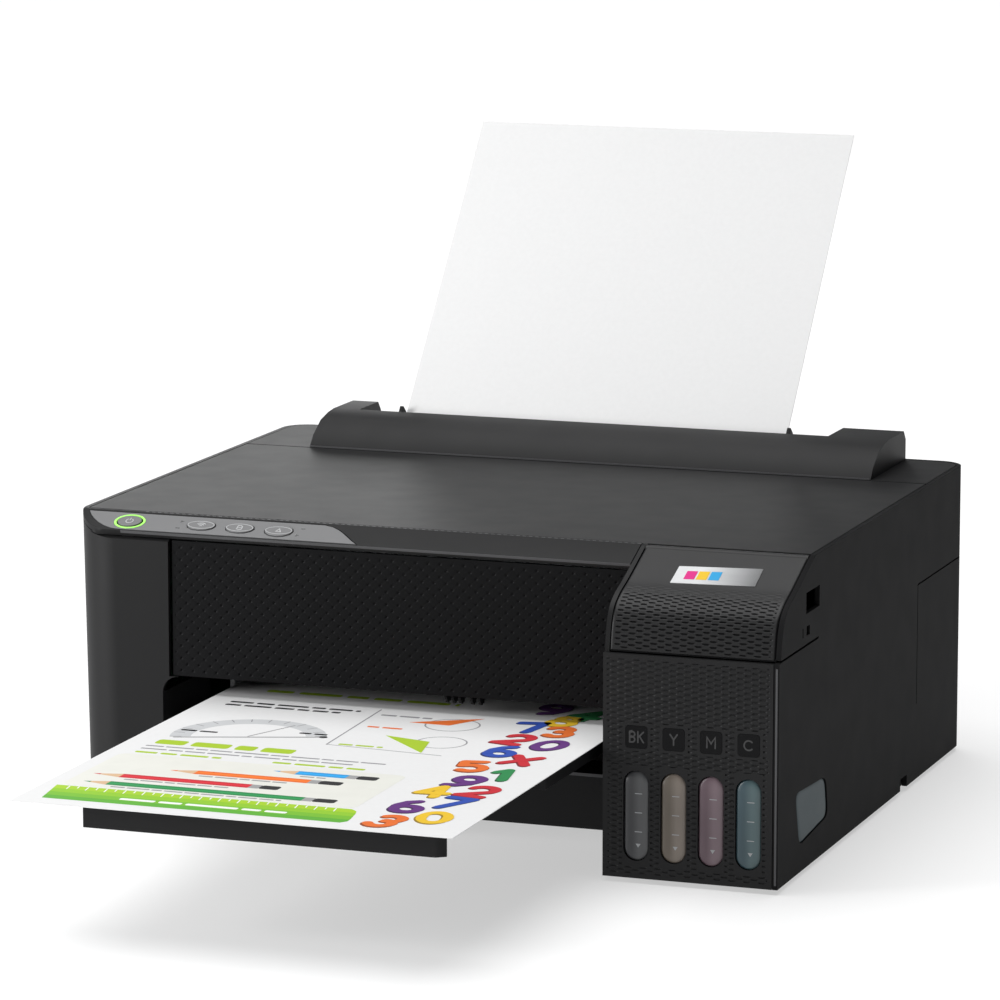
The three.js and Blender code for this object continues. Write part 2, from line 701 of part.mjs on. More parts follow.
function paperSupport() {
  const xs = [-80, 70];
  const plate = leanSlab(xs, [75, 180], [-7.4, -5.2]);
  const head = leanSlab(xs, [178, 183], [-9.5, -4.4]);
  const ribs = [-55, -6, 43].map((x) => leanSlab([x, x + 2], [78, 179], [-5.3, -4.4]));
  return join(plate, head, ...ribs);
}

function feederGuard() {
  const xs = [SLOT_X[0] + 0.6, SLOT_X[1] - 0.6];
  const [y, z] = GUARD_AXIS;
  const c = Math.cos(LEAN);
  const s = Math.sin(LEAN);
  const along = (a, o) => [y - a * c - o * s, z - a * s + o * c];
  const flap = [along(0, 0.8), along(20, 0.8), along(20, -0.8), along(0, -0.8)];
  return join(
    prismX(flap, xs),
    rodX(GUARD_AXIS, 1.6, xs),
    rodX(GUARD_AXIS, 1.1, [xs[0] - 1.8, xs[1] + 1.8]),
  );
}

const TRAY_STAGE_Y = [-60, 150];
const TRAY_BOARD_Z = [53.4, 55.4];

function trayExtension() {
  const [x0, x1] = TRAY_X;
  const lip = new THREE.Shape();
  lip.moveTo(x0, TRAY_FRONT_Y + 4);
  lip.lineTo(x0, TRAY_FRONT_Y);
  lip.lineTo(x1, TRAY_FRONT_Y);
  lip.lineTo(x1 + 4, TRAY_FRONT_Y + 3);
  lip.lineTo(x1 + 4, TRAY_FRONT_Y + 4);
  const board = block([x0 + 1, x1 - 1], [TRAY_FRONT_Y + 2, -30], [57.2, 59.2]);
  const ribs = [-60, -28, 4, 36, 68].map((x) =>
    block([x, x + 2], [TRAY_FRONT_Y + 3, -34], [59, TRAY_LIP_Z[1]]),
  );
  return join(prismZ(lip, TRAY_LIP_Z), board, ...ribs);
}

function outputTray() {
  const [x0, x1] = TRAY_X;
  const sides = [
    [x0 - 7, x0 - 3],
    [x1 + 3, x1 + 7],
  ];
  const board = block([sides[0][0], sides[1][1]], TRAY_STAGE_Y, TRAY_BOARD_Z);
  const walls = sides.map((xs) => block(xs, TRAY_STAGE_Y, [53.4, 60.4]));
  const runners = [-40, 46].map((x) => block([x, x + 3], [-56, 146], [55.3, 56.8]));
  const rearStop = block([x0 - 3.1, x1 + 3.1], [146, 150], [55.3, 60.4]);
  return join(board, ...walls, ...runners, rearStop);
}

// ---------------------------------------------------------------- print mechanism

// A spur gear about the X axis with straight-flanked teeth and running backlash.
function gear([y, z], teeth, xs, turn = 0, boreR = 0) {
  const pitchR = (teeth * MODULE) / 2;
  const step = (2 * Math.PI) / teeth;
  const points = [];
  const at = (r, angle) => points.push([y + r * Math.cos(angle), z + r * Math.sin(angle)]);
  for (let i = 0; i < teeth; i += 1) {
    const middle = turn + i * step;
    at(pitchR - 1.25 * MODULE, middle - 0.3 * step);
    at(pitchR + 0.85 * MODULE, middle - 0.12 * step);
    at(pitchR + 0.85 * MODULE, middle + 0.12 * step);
    at(pitchR - 1.25 * MODULE, middle + 0.3 * step);
  }
  const wheel = prismX(points, xs);
  return boreR ? cut(wheel, rodX([y, z], boreR, [xs[0] - 1, xs[1] + 1])) : wheel;
}

const GEAR_X = [-142, -136];
const FEED_TEETH = 36;
const IDLER_TEETH = 30;
const EJECT_TEETH = 24;
const PINION_TEETH = 12;

// Idler on the line from the feed axis to the eject axis; pinion below the feed gear.
const feedToEject = Math.atan2(EJECT_AXIS[1] - FEED_AXIS[1], EJECT_AXIS[0] - FEED_AXIS[0]);
const axisAt = ([y, z], angle, distance) => [
  y + distance * Math.cos(angle),
  z + distance * Math.sin(angle),
];
const centreDistance = (a, b) => ((a + b) * MODULE) / 2 + 0.15;
const IDLER_AXIS = axisAt(FEED_AXIS, feedToEject, centreDistance(FEED_TEETH, IDLER_TEETH));
const PINION_ANGLE = -Math.PI / 2;
const PINION_AXIS = axisAt(FEED_AXIS, PINION_ANGLE, centreDistance(FEED_TEETH, PINION_TEETH));

// A driven gear is turned so that one of its gaps faces a tooth of its driver.
function meshTurn(driverTurn, driverTeeth, teeth, angle) {
  const driverStep = (2 * Math.PI) / driverTeeth;
  const step = (2 * Math.PI) / teeth;
  const phase = (angle - driverTurn) / driverStep;
  const offset = phase - Math.round(phase);
  return angle + Math.PI + step / 2 + offset * step;
}
const IDLER_TURN = meshTurn(0, FEED_TEETH, IDLER_TEETH, feedToEject);
const EJECT_TURN = meshTurn(IDLER_TURN, IDLER_TEETH, EJECT_TEETH, feedToEject);
const PINION_TURN = meshTurn(0, FEED_TEETH, PINION_TEETH, PINION_ANGLE);

const PICKUP_R = 15;
const PICKUP_AXIS = leanPoint(19, PICKUP_R + 0.8);

function feedRoller() {
  const shaft = rodX(FEED_AXIS, 3, [-144, MECH_X[1] + 3], 6);
  const roller = rodX(FEED_AXIS, 5.2, [MECH_X[0] + 4, MECH_X[1] - 4], 8);
  return join(shaft, roller);
}

function ejectRoller() {
  const shaft = rodX(EJECT_AXIS, 2.2, [GEAR_X[0], MECH_X[1] + 3], 6);
  const tyres = [-95, -60, -25, 10, 45, 75].map((x) => rodX(EJECT_AXIS, 3.8, [x, x + 8], 6));
  return join(shaft, ...tyres, gear(EJECT_AXIS, EJECT_TEETH, GEAR_X, EJECT_TURN));
}

const idlerGear = () => gear(IDLER_AXIS, IDLER_TEETH, GEAR_X, IDLER_TURN, 2.3);
const feedGear = () => gear(FEED_AXIS, FEED_TEETH, GEAR_X, 0, 3.3);
const motorPinion = () =>
  join(
    gear(PINION_AXIS, PINION_TEETH, GEAR_X, PINION_TURN),
    rodX(PINION_AXIS, 1.4, [GEAR_X[1] - 1, MECH_X[0]]),
  );

function pickupRoller() {
  const shaft = rodX(PICKUP_AXIS, 2.8, [SLOT_X[0] - 4.5, SLOT_X[1] + 4.5], 6);
  const tyre = rodX(PICKUP_AXIS, PICKUP_R, [-26, 26], 8);
  const collars = [-90, 70].map((x) => rodX(PICKUP_AXIS, 5, [x, x + 6], 6));
  return join(shaft, tyre, ...collars);
}

const RAIL_Z = [112, 124];
const BELT_Z = 92;
const PULLEY_X = [-112, 160];
const BELT_Y = [188, 194];

function mainFrame() {
  const [x0, x1] = MECH_X;
  const rear = block([x0, x1], [FRAME_Y, FRAME_Y + 2], [41, 126]);
  const side = [[108, 41], [FRAME_Y + 1, 41], [FRAME_Y + 1, 126], [150, 126], [108, 84]];
  const sides = [prismX(side, [x0 - 2, x0 + 0.1]), prismX(side, [x1 - 0.1, x1 + 2])];
  const flange = block([x0 - 2, x1 + 2], [FRAME_Y + 1, FRAME_Y + 10], [41, 43]);
  const stub = rodX(IDLER_AXIS, 2, [GEAR_X[0], x0 - 1]);
  const legs = [x0 - 2, x1].map((x) => block([x, x + 2], [150, FRAME_Y + 10], [3, 42]));
  const trayWindow = block([x0 + 3, TANK_X], [FRAME_Y - 1, FRAME_Y + 3], [44, 63]);
  const paperWindow = block([x0 + 6, TANK_X + 8], [FRAME_Y - 1, FRAME_Y + 3], [66, 78]);
  const feedHole = rodX(FEED_AXIS, 3.4, [x0 - 3, x1 + 3], 6);
  const ejectHole = rodX(EJECT_AXIS, 2.6, [x0 - 3, x1 + 3], 6);
  const motorHole = rodY([PULLEY_X[1], BELT_Z], 3, [FRAME_Y - 1, FRAME_Y + 3]);
  const pinionHole = rodX(PINION_AXIS, 1.9, [x0 - 3, x0 + 1], 6);
  return cut(
    join(rear, ...sides, flange, stub, ...legs),
    trayWindow,
    paperWindow,
    feedHole,
    ejectHole,
    motorHole,
    pinionHole,
  );
}

function carriageRail() {
  const [z0, z1] = RAIL_Z;
  const section = [
    [186.4, z0],
    [196.4, z0],
    [196.4, z1 + 1.5],
    [186.4, z1 + 1.5],
    [186.4, z1 - 2],
    [187.9, z1 - 2],
    [187.9, z1],
    [194.9, z1],
    [194.9, z0 + 1.5],
    [187.9, z0 + 1.5],
    [187.9, z0 + 4],
    [186.4, z0 + 4],
  ];
  return prismX(section, [MECH_X[0] + 0.6, MECH_X[1] - 0.6]);
}

const encoderStrip = () =>
  block([MECH_X[0] + 0.6, MECH_X[1] - 0.6], [185.2, 185.8], [116.5, 121.5]);

function printCarriage() {
  const centre = CARRIAGE_X;
  const side = [
    [129, 86],
    [184.5, 86],
    [184.5, 124],
    [170, 128],
    [140, 128],
    [129, 118],
  ];
  const body = prismX(side, [centre - 31, centre + 31]);
  const head = block([centre - 26, centre + 26], [140, 170], [78.5, 87]);
  const dampers = [0, 1, 2, 3].map((i) =>
    block([centre - 26 + 13.4 * i, centre - 14 + 13.4 * i], [136, 174], [127, 134]),
  );
  return join(body, head, ...dampers);
}

function timingBelt() {
  const outer = roundRect([PULLEY_X[0] - 8.6, PULLEY_X[1] + 8.6], [BELT_Z - 8.6, BELT_Z + 8.6], 8.59);
  const inner = roundRect([PULLEY_X[0] - 7.4, PULLEY_X[1] + 7.4], [BELT_Z - 7.4, BELT_Z + 7.4], 7.39);
  return cut(prismY(outer, BELT_Y, 6), prismY(inner, [BELT_Y[0] - 1, BELT_Y[1] + 1], 6));
}

function beltPulley(i) {
  const at = [PULLEY_X[i], BELT_Z];
  const wheel = rodY(at, 6.9, [BELT_Y[0], BELT_Y[1]], 6);
  const rim = rodY(at, 9.2, [BELT_Y[0] - 1.4, BELT_Y[0] - 0.4], 6);
  const hub = rodY(at, 3, [BELT_Y[0] - 1, BELT_Y[1] + 0.8], 5);
  const shaft = rodY(at, 1.5, [BELT_Y[1], FRAME_Y + 2.2], 5);
  return i === 0 ? join(wheel, rim, hub) : join(wheel, rim, hub, shaft);
}

function carriageMotor() {
  const at = [PULLEY_X[1], BELT_Z];
  const can = rodY(at, 14, [FRAME_Y + 2.6, FRAME_Y + 28], 8);
  const boss = rodY(at, 5, [FRAME_Y + 27, FRAME_Y + 31], 6);
  return join(can, boss);
}

function feedMotor() {
  const x = MECH_X[0] + GAP;
  return join(rodX(PINION_AXIS, 12, [x, x + 26], 8), rodX(PINION_AXIS, 5, [x + 25, x + 29], 5));
}

function platen() {
  const bed = block([MECH_X[0] + 4, PRINT_RIGHT_X], [126, 171], [65.5, 69]);
  const ribs = [];
  for (let x = -116; x < PRINT_RIGHT_X - 2; x += 14) ribs.push(block([x, x + 2], [127, 170], [68.9, 73]));
  return join(bed, ...ribs);
}

function starWheelHolder() {
  const bar = block([MECH_X[0] + 4, PRINT_RIGHT_X], [110, 124], [80, 83]);
  const forks = [-95, -60, -25, 10, 45, 75].map((x) =>
    join(block([x + 1, x + 7], [114, 122], [76.5, 80.1]), rodX([118, 77], 3, [x + 3, x + 5], 5)),
  );
  return join(bar, ...forks);
}

function cappingStation() {
  const x = CARRIAGE_X;
  const base = block([x - 32, x + 32], [128, 171], [64.5, 67]);
  const cup = cut(
    block([x - 22, x + 22], [142, 168], [66, 77.6]),
    block([x - 19, x + 19], [145, 165], [74, 79]),
  );
  return join(base, cup);
}

const powerSupply = () => block([102, 182], [225, 322], [4, 46]);
const mainBoard = () =>
  join(
    block([-181.6, -179.6], [120, 300], [20, 110]),
    block([-180, -176], [160, 185], [60, 84]),
    block([-180, -171], [250, 262], [40, 80]),
  );
const wasteInkPad = () => block([-120, 80], [215, 325], [3, 34]);

// Four tubes moulded side by side as a flat ribbon, from the tanks back and along the frame.
function inkTubes() {
  const ribbon = new THREE.Shape([
    [-1.6, -5],
    [1.6, -5],
    [1.6, 5],
    [-1.6, 5],
  ].map(([a, b]) => new THREE.Vector2(a, b)));
  const path = new THREE.CurvePath();
  const points = [
    [140, 79, 84],
    [140, 88, 84],
    [137, 98, 90],
    [130, 108, 104],
    [118, 116, 120],
    [100, 120, 131],
    [70, 120, 132],
    [-20, 120, 132],
  ].map((p) => new THREE.Vector3(...p));
  path.add(new THREE.CatmullRomCurve3(points, false, "centripetal"));
  const options = { steps: 26, bevelEnabled: false, extrudePath: path.curves[0] };
  return solid(new THREE.ExtrudeGeometry(ribbon, options));
}

function acInlet() {
  const { x, z, width, height } = INLET;
  const body = block([x - width / 2, x + width / 2], [308, REAR_Y], [z - height / 2, z + height / 2]);
  const well = prismY(roundRect([x - 9, x + 9], [z - 5, z + 5], 4.9), [319, REAR_Y + 1], 5);
  const pins = [-5.6, 5.6].map((dx) => rodY([x + dx, z], 1.2, [318, 331], 3));
  return join(cut(body, well), ...pins);
}

function usbPort() {
  const { x, z, width, height } = USB;
  const body = block([x - width / 2, x + width / 2], [316, REAR_Y], [z - height / 2, z + height / 2]);
  const well = block([x - 4.6, x + 4.6], [321, REAR_Y + 1], [z - 4.2, z + 4.2]);
  const tongue = block([x - 2.8, x + 2.8], [320, 329], [z - 1.4, z + 1.4]);
  return join(cut(body, well), tongue);
}

const FEET = {
  foot_front_left: [-158, 80],
  foot_front_right: [170, 22],
  foot_rear_left: [-160, 305],
  foot_rear_right: [160, 305],
};
const foot = (at) => rodZ(at, 8, [-FOOT_HEIGHT, -0.1], 5);

// ---------------------------------------------------------------- assembly

piece("lower_case", lowerCase(), SOFT_BLACK());
piece("left_housing", leftHousing(), MATTE_BLACK());
piece("right_side_cover", rightSideCover(), MATTE_BLACK());
piece("rear_cover", rearCover(), MATTE_BLACK());
piece("rear_feed_housing", rearFeedHousing(), MATTE_BLACK());
piece("printer_cover", printerCover(), MATTE_BLACK());
piece("front_bezel", frontBezel(), MATTE_BLACK());
piece("control_panel", controlPanel(), PANEL_GREY());
piece("power_light_ring", powerLightRing(), paint(0x8fd84a, 0.3));
BUTTONS.forEach((b) => piece(b.name, button(b), PANEL_GREY()));
piece("front_panel", frontPanel(), SOFT_BLACK());

piece("tank_front_cover", tankFrontCover(), SOFT_BLACK());
piece("tank_cover", tankCover(), MATTE_BLACK());
const INK = { black: 0x5f6266, yellow: 0x8a7f6c, magenta: 0x7d6474, cyan: 0x4f6f78 };
TANK_NAMES.forEach((name, i) => {
  piece(`ink_tank_${name}`, inkTank(i), paint(INK[name], 0.25));
  piece(`ink_cap_${name}`, inkCap(i), RUBBER());
});

piece("output_tray", outputTray(), SOFT_BLACK());
piece("tray_extension", trayExtension(), MATTE_BLACK());
piece("printed_sheet", printedSheet(), PAPER());
piece("loaded_paper", loadedPaper(), PAPER());
piece("edge_guide_left", edgeGuide(-1), SOFT_BLACK());
piece("edge_guide_right", edgeGuide(1), SOFT_BLACK());
piece("paper_support", paperSupport(), SOFT_BLACK());
piece("feeder_guard", feederGuard(), SOFT_BLACK());

piece("main_frame", mainFrame(), STEEL());
piece("carriage_rail", carriageRail(), STEEL());
piece("encoder_strip", encoderStrip(), NYLON());
piece("print_carriage", printCarriage(), SOFT_BLACK());
piece("timing_belt", timingBelt(), RUBBER());
piece("belt_pulley_left", beltPulley(0), NYLON());
piece("belt_pulley_motor", beltPulley(1), NYLON());
piece("carriage_motor", carriageMotor(), STEEL());
piece("feed_motor", feedMotor(), STEEL());
piece("motor_pinion", motorPinion(), NYLON());
piece("feed_roller", feedRoller(), STEEL());
piece("feed_gear", feedGear(), NYLON());
piece("idler_gear", idlerGear(), NYLON());
piece("eject_roller", ejectRoller(), RUBBER());
piece("pickup_roller", pickupRoller(), RUBBER());
piece("platen", platen(), SOFT_BLACK());
piece("star_wheel_holder", starWheelHolder(), SOFT_BLACK());
piece("capping_station", cappingStation(), SOFT_BLACK());
piece("waste_ink_pad", wasteInkPad(), NYLON());
piece("main_board", mainBoard(), paint(0x1f5a36, 0.5));
piece("power_supply", powerSupply(), SOFT_BLACK());
piece("ink_tubes", inkTubes(), paint(0xbfc3c7, 0.3));
piece("ac_inlet", acInlet(), SOFT_BLACK());
piece("usb_port", usbPort(), STEEL());
Object.entries(FEET).forEach(([name, at]) => piece(name, foot(at), RUBBER()));

// The origin is at the middle of the footprint, from the printed sheet's front edge to the back
// of the loaded sheet's top edge, on the surface the feet stand on.
const footprintBack = leanPoint(PAPER_LENGTH, -LOADED_THICKNESS)[0];
printer.position.set(0, -(PRINTED_FRONT_Y + footprintBack) / 2, FOOT_HEIGHT);

export default printer;
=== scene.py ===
"""Looks of a compact ink-tank inkjet printer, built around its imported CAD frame."""

import functools
import json
import math

import bmesh
import bpy
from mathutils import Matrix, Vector


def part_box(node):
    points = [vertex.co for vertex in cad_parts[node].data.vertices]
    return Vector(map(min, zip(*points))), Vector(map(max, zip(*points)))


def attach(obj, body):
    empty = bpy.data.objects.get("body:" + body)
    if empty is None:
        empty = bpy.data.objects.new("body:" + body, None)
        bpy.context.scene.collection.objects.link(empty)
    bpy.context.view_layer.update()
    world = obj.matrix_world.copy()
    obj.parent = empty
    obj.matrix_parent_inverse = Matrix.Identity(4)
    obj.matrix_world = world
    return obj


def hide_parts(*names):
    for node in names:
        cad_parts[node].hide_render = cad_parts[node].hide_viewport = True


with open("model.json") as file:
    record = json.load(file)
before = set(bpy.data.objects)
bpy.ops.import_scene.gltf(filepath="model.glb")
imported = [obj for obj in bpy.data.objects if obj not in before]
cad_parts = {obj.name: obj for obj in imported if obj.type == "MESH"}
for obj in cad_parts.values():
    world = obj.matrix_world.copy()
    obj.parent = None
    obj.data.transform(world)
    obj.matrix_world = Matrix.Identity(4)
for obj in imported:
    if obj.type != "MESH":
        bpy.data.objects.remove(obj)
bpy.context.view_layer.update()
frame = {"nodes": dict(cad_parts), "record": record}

# ---------------------------------------------------------------- places

# Sizes are in millimetres in the case frame: X from the middle of the case, Y from the face of
# the ink-tank unit, Z from the underside of the case. Lights and floor are in metres.
MM = 0.001
ORIGIN = Vector((0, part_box("tank_front_cover")[0].y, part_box("lower_case")[0].z))


def at(x, y, z):
    """A point of the case frame in the row frame, in metres."""
    return ORIGIN + Vector((x, y, z)) * MM


def span(node, axis):
    """Where a node starts and ends along an axis of the case frame."""
    low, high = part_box(node)
    return (low[axis] - ORIGIN[axis]) / MM, (high[axis] - ORIGIN[axis]) / MM


X, Y, Z = range(3)

# The lid's top stands this much above the rear cover.
LID_STEP = 2.9
TOP_Z = span("rear_cover", Z)[1] + LID_STEP
SIDE_X = span("right_side_cover", X)[1]

# The control panel's slope: where its crease is, and how steeply it falls to the front.
SLOPE_Y = 57
SLOPE = math.radians(22.5)
TANKS = ("black", "yellow", "magenta", "cyan")


def on_slope(x, s, up=0):
    """A point on the sloping strip: s runs down from its crease, up is proud of it."""
    y = SLOPE_Y - s * math.cos(SLOPE) - up * math.sin(SLOPE)
    z = TOP_Z - s * math.sin(SLOPE) + up * math.cos(SLOPE)
    return at(x, y, z)


def on_face(x, z, up=0):
    """A point on the face of the ink-tank unit, up in front of it."""
    return at(x, -up, z)


def side_on(y, z, x):
    """A point of a shape that is drawn in side view and runs along X."""
    return at(x, y, z)


# ---------------------------------------------------------------- materials


def add_node(tree, kind, values=(), **options):
    """A shader node with its input values and its options set."""
    node = tree.nodes.new(kind)
    for key, value in options.items():
        setattr(node, key, value)
    for key, value in dict(values).items():
        node.inputs[key].default_value = value
    return node


def noise(tree, coords, scale, detail=4.0):
    """Cloudy noise on the given coordinates."""
    node = add_node(tree, "ShaderNodeTexNoise", {"Scale": scale, "Detail": detail})
    tree.links.new(coords, node.inputs["Vector"])
    return node.outputs["Fac"]


def ramp(tree, factor, first, second, start=0.3, end=0.7):
    """Two colours mixed by a factor, from the first at start to the second at end."""
    node = tree.nodes.new("ShaderNodeValToRGB")
    for stop, place, colour in zip(node.color_ramp.elements, (start, end), (first, second)):
        stop.position = place
        stop.color = (*colour, 1)
    tree.links.new(factor, node.inputs["Fac"])
    return node.outputs["Color"]


def spread(tree, factor, low, high):
    """A number that goes from low to high with the middle part of a noise."""
    limits = {"From Min": 0.3, "From Max": 0.7, "To Min": low, "To Max": high}
    node = add_node(tree, "ShaderNodeMapRange", limits)
    tree.links.new(factor, node.inputs["Value"])
    return node.outputs["Result"]


def surface(
    name, colour, roughness, shift=0.04, scale=16, grain=0.015, grain_scale=2200, **sockets
):
    """A moulded or coated surface: slow colour and gloss changes, and a fine grain.

    shift is the share by which the colour varies, grain the depth of the grain in millimetres.
    The other keywords are values for the shader's sockets.
    """
    material = bpy.data.materials.new(name)
    material.use_nodes = True
    tree = material.node_tree
    shader = tree.nodes["Principled BSDF"]
    coords = tree.nodes.new("ShaderNodeTexCoord").outputs["Object"]
    patches = noise(tree, coords, scale)
    darker = [c * (1 - shift) for c in colour]
    lighter = [min(1, c * (1 + shift)) for c in colour]
    tree.links.new(ramp(tree, patches, darker, lighter), shader.inputs["Base Color"])
    wipes = noise(tree, coords, scale * 3.3, 2.0)
    gloss = spread(tree, wipes, roughness - 0.015, roughness + 0.015)
    tree.links.new(gloss, shader.inputs["Roughness"])
    bump = add_node(tree, "ShaderNodeBump", {"Strength": 0.5, "Distance": grain * MM})
    tree.links.new(noise(tree, coords, grain_scale, 2.0), bump.inputs["Height"])
    tree.links.new(bump.outputs["Normal"], shader.inputs["Normal"])
    for key, value in sockets.items():
        shader.inputs[key.replace("_", " ")].default_value = value
    return material


def painted_light_gradient(name, left, right, start=0.35, end=0.62):
    """A surface whose colour changes across it between two shares of its width: a painted gradient
    of light and shade.
    """
    material = surface(name, left, 0.32, grain=0.006, Specular_IOR_Level=0.45)
    tree = material.node_tree
    shader = tree.nodes["Principled BSDF"]
    generated = tree.nodes.new("ShaderNodeTexCoord").outputs["Generated"]
    split = tree.nodes.new("ShaderNodeSeparateXYZ")
    tree.links.new(generated, split.inputs["Vector"])
    across = ramp(tree, split.outputs["X"], left, right, start, end)
    cloud = noise(tree, generated, 3.0)
    mix = add_node(tree, "ShaderNodeMix", data_type="RGBA", blend_type="MULTIPLY")
    mix.inputs["Factor"].default_value = 1
    tree.links.new(across, mix.inputs["A"])
    tree.links.new(ramp(tree, cloud, (0.9,) * 3, (1, 1, 1)), mix.inputs["B"])
    tree.links.new(mix.outputs["Result"], shader.inputs["Base Color"])
    return material


def lit(material, colour, strength):
    """The same material, giving off light of its own."""
    sockets = material.node_tree.nodes["Principled BSDF"].inputs
    sockets["Emission Color"].default_value = (*colour, 1)
    sockets["Emission Strength"].default_value = strength
    return material


# The finish of each material slot of the CAD.
CASE = dict(Specular_IOR_Level=0.14)
SLOTS = {
    "case_black": surface("moulded_charcoal", (0.0098, 0.0098, 0.0102), 0.5, 0.02, **CASE),
    "trim_black": surface("moulded_black", (0.0085, 0.0085, 0.009), 0.52, **CASE),
    "panel_grey": surface("panel_film", (0.118, 0.119, 0.122), 0.42, 0.03, grain=0.006),
    "light_ring": lit(
        surface("light_guide", (0.28, 0.72, 0.1), 0.3, grain=0.004), (0.3, 0.85, 0.08), 0.45
    ),
    "rubber": surface("rubber", (0.018, 0.018, 0.018), 0.85, grain=0.05, grain_scale=1500),
    "paper": surface("paper", (0.69, 0.69, 0.69), 0.9, 0.012, 400, grain=0.012, grain_scale=3500),
    "steel": surface("zinc_sheet", (0.42, 0.43, 0.44), 0.34, 0.12, 120, grain=0.01, Metallic=0.9),
    "nylon": surface("nylon", (0.62, 0.6, 0.53), 0.45, grain=0.01),
    "tube": surface("ink_tube", (0.5, 0.52, 0.53), 0.25, grain=0.004),
    "felt": surface("felt", (0.5, 0.5, 0.48), 0.95, 0.2, 300, grain=0.3, grain_scale=900),
    "circuit_board": surface("circuit_board", (0.02, 0.12, 0.05), 0.35, 0.25, 180, grain=0.02),
    # The tank windows run from darker at their left to lighter at their right: painted shade and a
    # painted highlight over the ink's colour.
    "tank_black": painted_light_gradient("window_black", (0.035, 0.036, 0.039), (0.075, 0.077, 0.08)),
    "tank_yellow": painted_light_gradient("window_yellow", (0.115, 0.095, 0.075), (0.19, 0.16, 0.135)),
    "tank_magenta": painted_light_gradient("window_magenta", (0.105, 0.068, 0.083), (0.165, 0.118, 0.135)),
    "tank_cyan": painted_light_gradient("window_cyan", (0.035, 0.066, 0.08), (0.07, 0.112, 0.12)),
}

# Finishes of the pieces that only the visual model has.
MARK = surface("light_marking", (0.36, 0.365, 0.37), 0.5, grain=0.003)
TICK = surface("level_tick", (0.3, 0.31, 0.32), 0.5, grain=0.003)
LED = surface("dark_light", (0.02, 0.022, 0.02), 0.2, grain=0.003)
# A lighter copy of the case plastic, put on thin strips as painted highlights.
PAINTED_HIGHLIGHT = surface("painted_glint", (0.075, 0.075, 0.078), 0.42, **CASE)
SIDE_LENS = surface("side_lens", (0.024, 0.044, 0.052), 0.4, grain=0.004, Specular_IOR_Level=0.1)
# Glossy black of the code badges; also painted into the deepest hollows of the reliefs as shade.
GLOSS_BLACK_AND_PAINTED_SHADE = surface(
    "gloss_black_and_painted_shade", (0.003, 0.003, 0.0035), 0.4, grain=0.003, Specular_IOR_Level=0.12
)
CODE = surface("code_grey", (0.026, 0.026, 0.027), 0.5, grain=0.003)
SIDE_WALL = surface("moulded_side", (0.0098, 0.0098, 0.0102), 0.62, 0.02, Specular_IOR_Level=0.035)
PANEL = surface("moulded_panel", (0.006, 0.006, 0.0065), 0.42, Specular_IOR_Level=0.05)
TANK_FACE = surface("moulded_tank_face", (0.014, 0.014, 0.0145), 0.4, **CASE)
# The tank cover's plastic, painted about twice as light as the case as light falling on the cover.
COVER_PAINTED_LIGHTER = surface("cover_painted_lighter", (0.021, 0.021, 0.0215), 0.36, **CASE)
# The silver film runs from bright at its left to dark at its right: a painted reflection.
SILVER = painted_light_gradient("silver_film", (0.6, 0.61, 0.62), (0.08, 0.082, 0.085), 0.3, 1.1)

# Colours of the printed sheet and of the badge.
COLOURS = {
    "white": (0.78, 0.79, 0.78),
    "cream": (0.68, 0.68, 0.63),
    "pale": (0.5, 0.51, 0.52),
    "grey": (0.25, 0.25, 0.26),
    "dark": (0.012, 0.012, 0.013),
    "steel": (0.3, 0.3, 0.3),
    "wood": (0.6, 0.4, 0.24),
    "green": (0.01, 0.21, 0.055),
    "red": (0.5, 0.008, 0.02),
    "orange": (0.68, 0.13, 0.01),
    "blue": (0.01, 0.055, 0.36),
    "sky": (0.01, 0.27, 0.6),
    "lime": (0.34, 0.5, 0.01),
    "purple": (0.1, 0.015, 0.17),
    "yellow": (0.72, 0.46, 0.01),
    "magenta": (0.62, 0.008, 0.2),
    "cyan": (0.01, 0.3, 0.6),
    "ruler0": (0.09, 0.36, 0.02),
    "ruler1": (0.16, 0.43, 0.015),
    "ruler2": (0.24, 0.49, 0.012),
    "ruler3": (0.33, 0.54, 0.01),
}


@functools.cache
def ink(name):
    """A printed colour by its name, which may end in _dark or _light for another tone of it."""
    base, _, tone = name.partition("_")
    gain = {"": 1, "dark": 0.35, "light": 1.3}[tone]
    return surface(f"ink_{name}", [c * gain for c in COLOURS[base]], 0.75, 0.02, 90, grain=0.003)


# ---------------------------------------------------------------- mesh building

# Edges gentler than this are shaded smooth, edges steeper than ROUNDED_ANGLE are rounded, and
# faces within FLAT_ANGLE of each other are made one.
SMOOTH_ANGLE = 38
ROUNDED_ANGLE = 40
FLAT_ANGLE = 0.6


def placed(name, data):
    """A new object in the scene."""
    obj = bpy.data.objects.new(name, data)
    bpy.context.scene.collection.objects.link(obj)
    return obj


def piece(name, mesh, body, slot, *materials, replaces=()):
    """A finished mesh as a piece that rides on a body."""
    data = bpy.data.meshes.new(name)
    bmesh.ops.recalc_face_normals(mesh, faces=mesh.faces)
    mesh.to_mesh(data)
    mesh.free()
    for material in materials or (SLOTS[slot],):
        data.materials.append(material)
    obj = placed(name, data)
    shade(obj)
    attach(obj, body)
    if replaces:
        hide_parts(*replaces)


def shade(obj):
    """Smooth across gentle edges, with flat faces kept flat."""
    obj.data.shade_smooth()
    obj.data.set_sharp_from_angle(angle=math.radians(SMOOTH_ANGLE))
    weighted = obj.modifiers.new("normals", "WEIGHTED_NORMAL")
    weighted.keep_sharp = True


def body_of(node):
    """The body that a CAD node rides on."""
    bodies = frame["record"]["behaviour"]["bodies"]
    return next(body for body, nodes in bodies.items() if node in nodes)


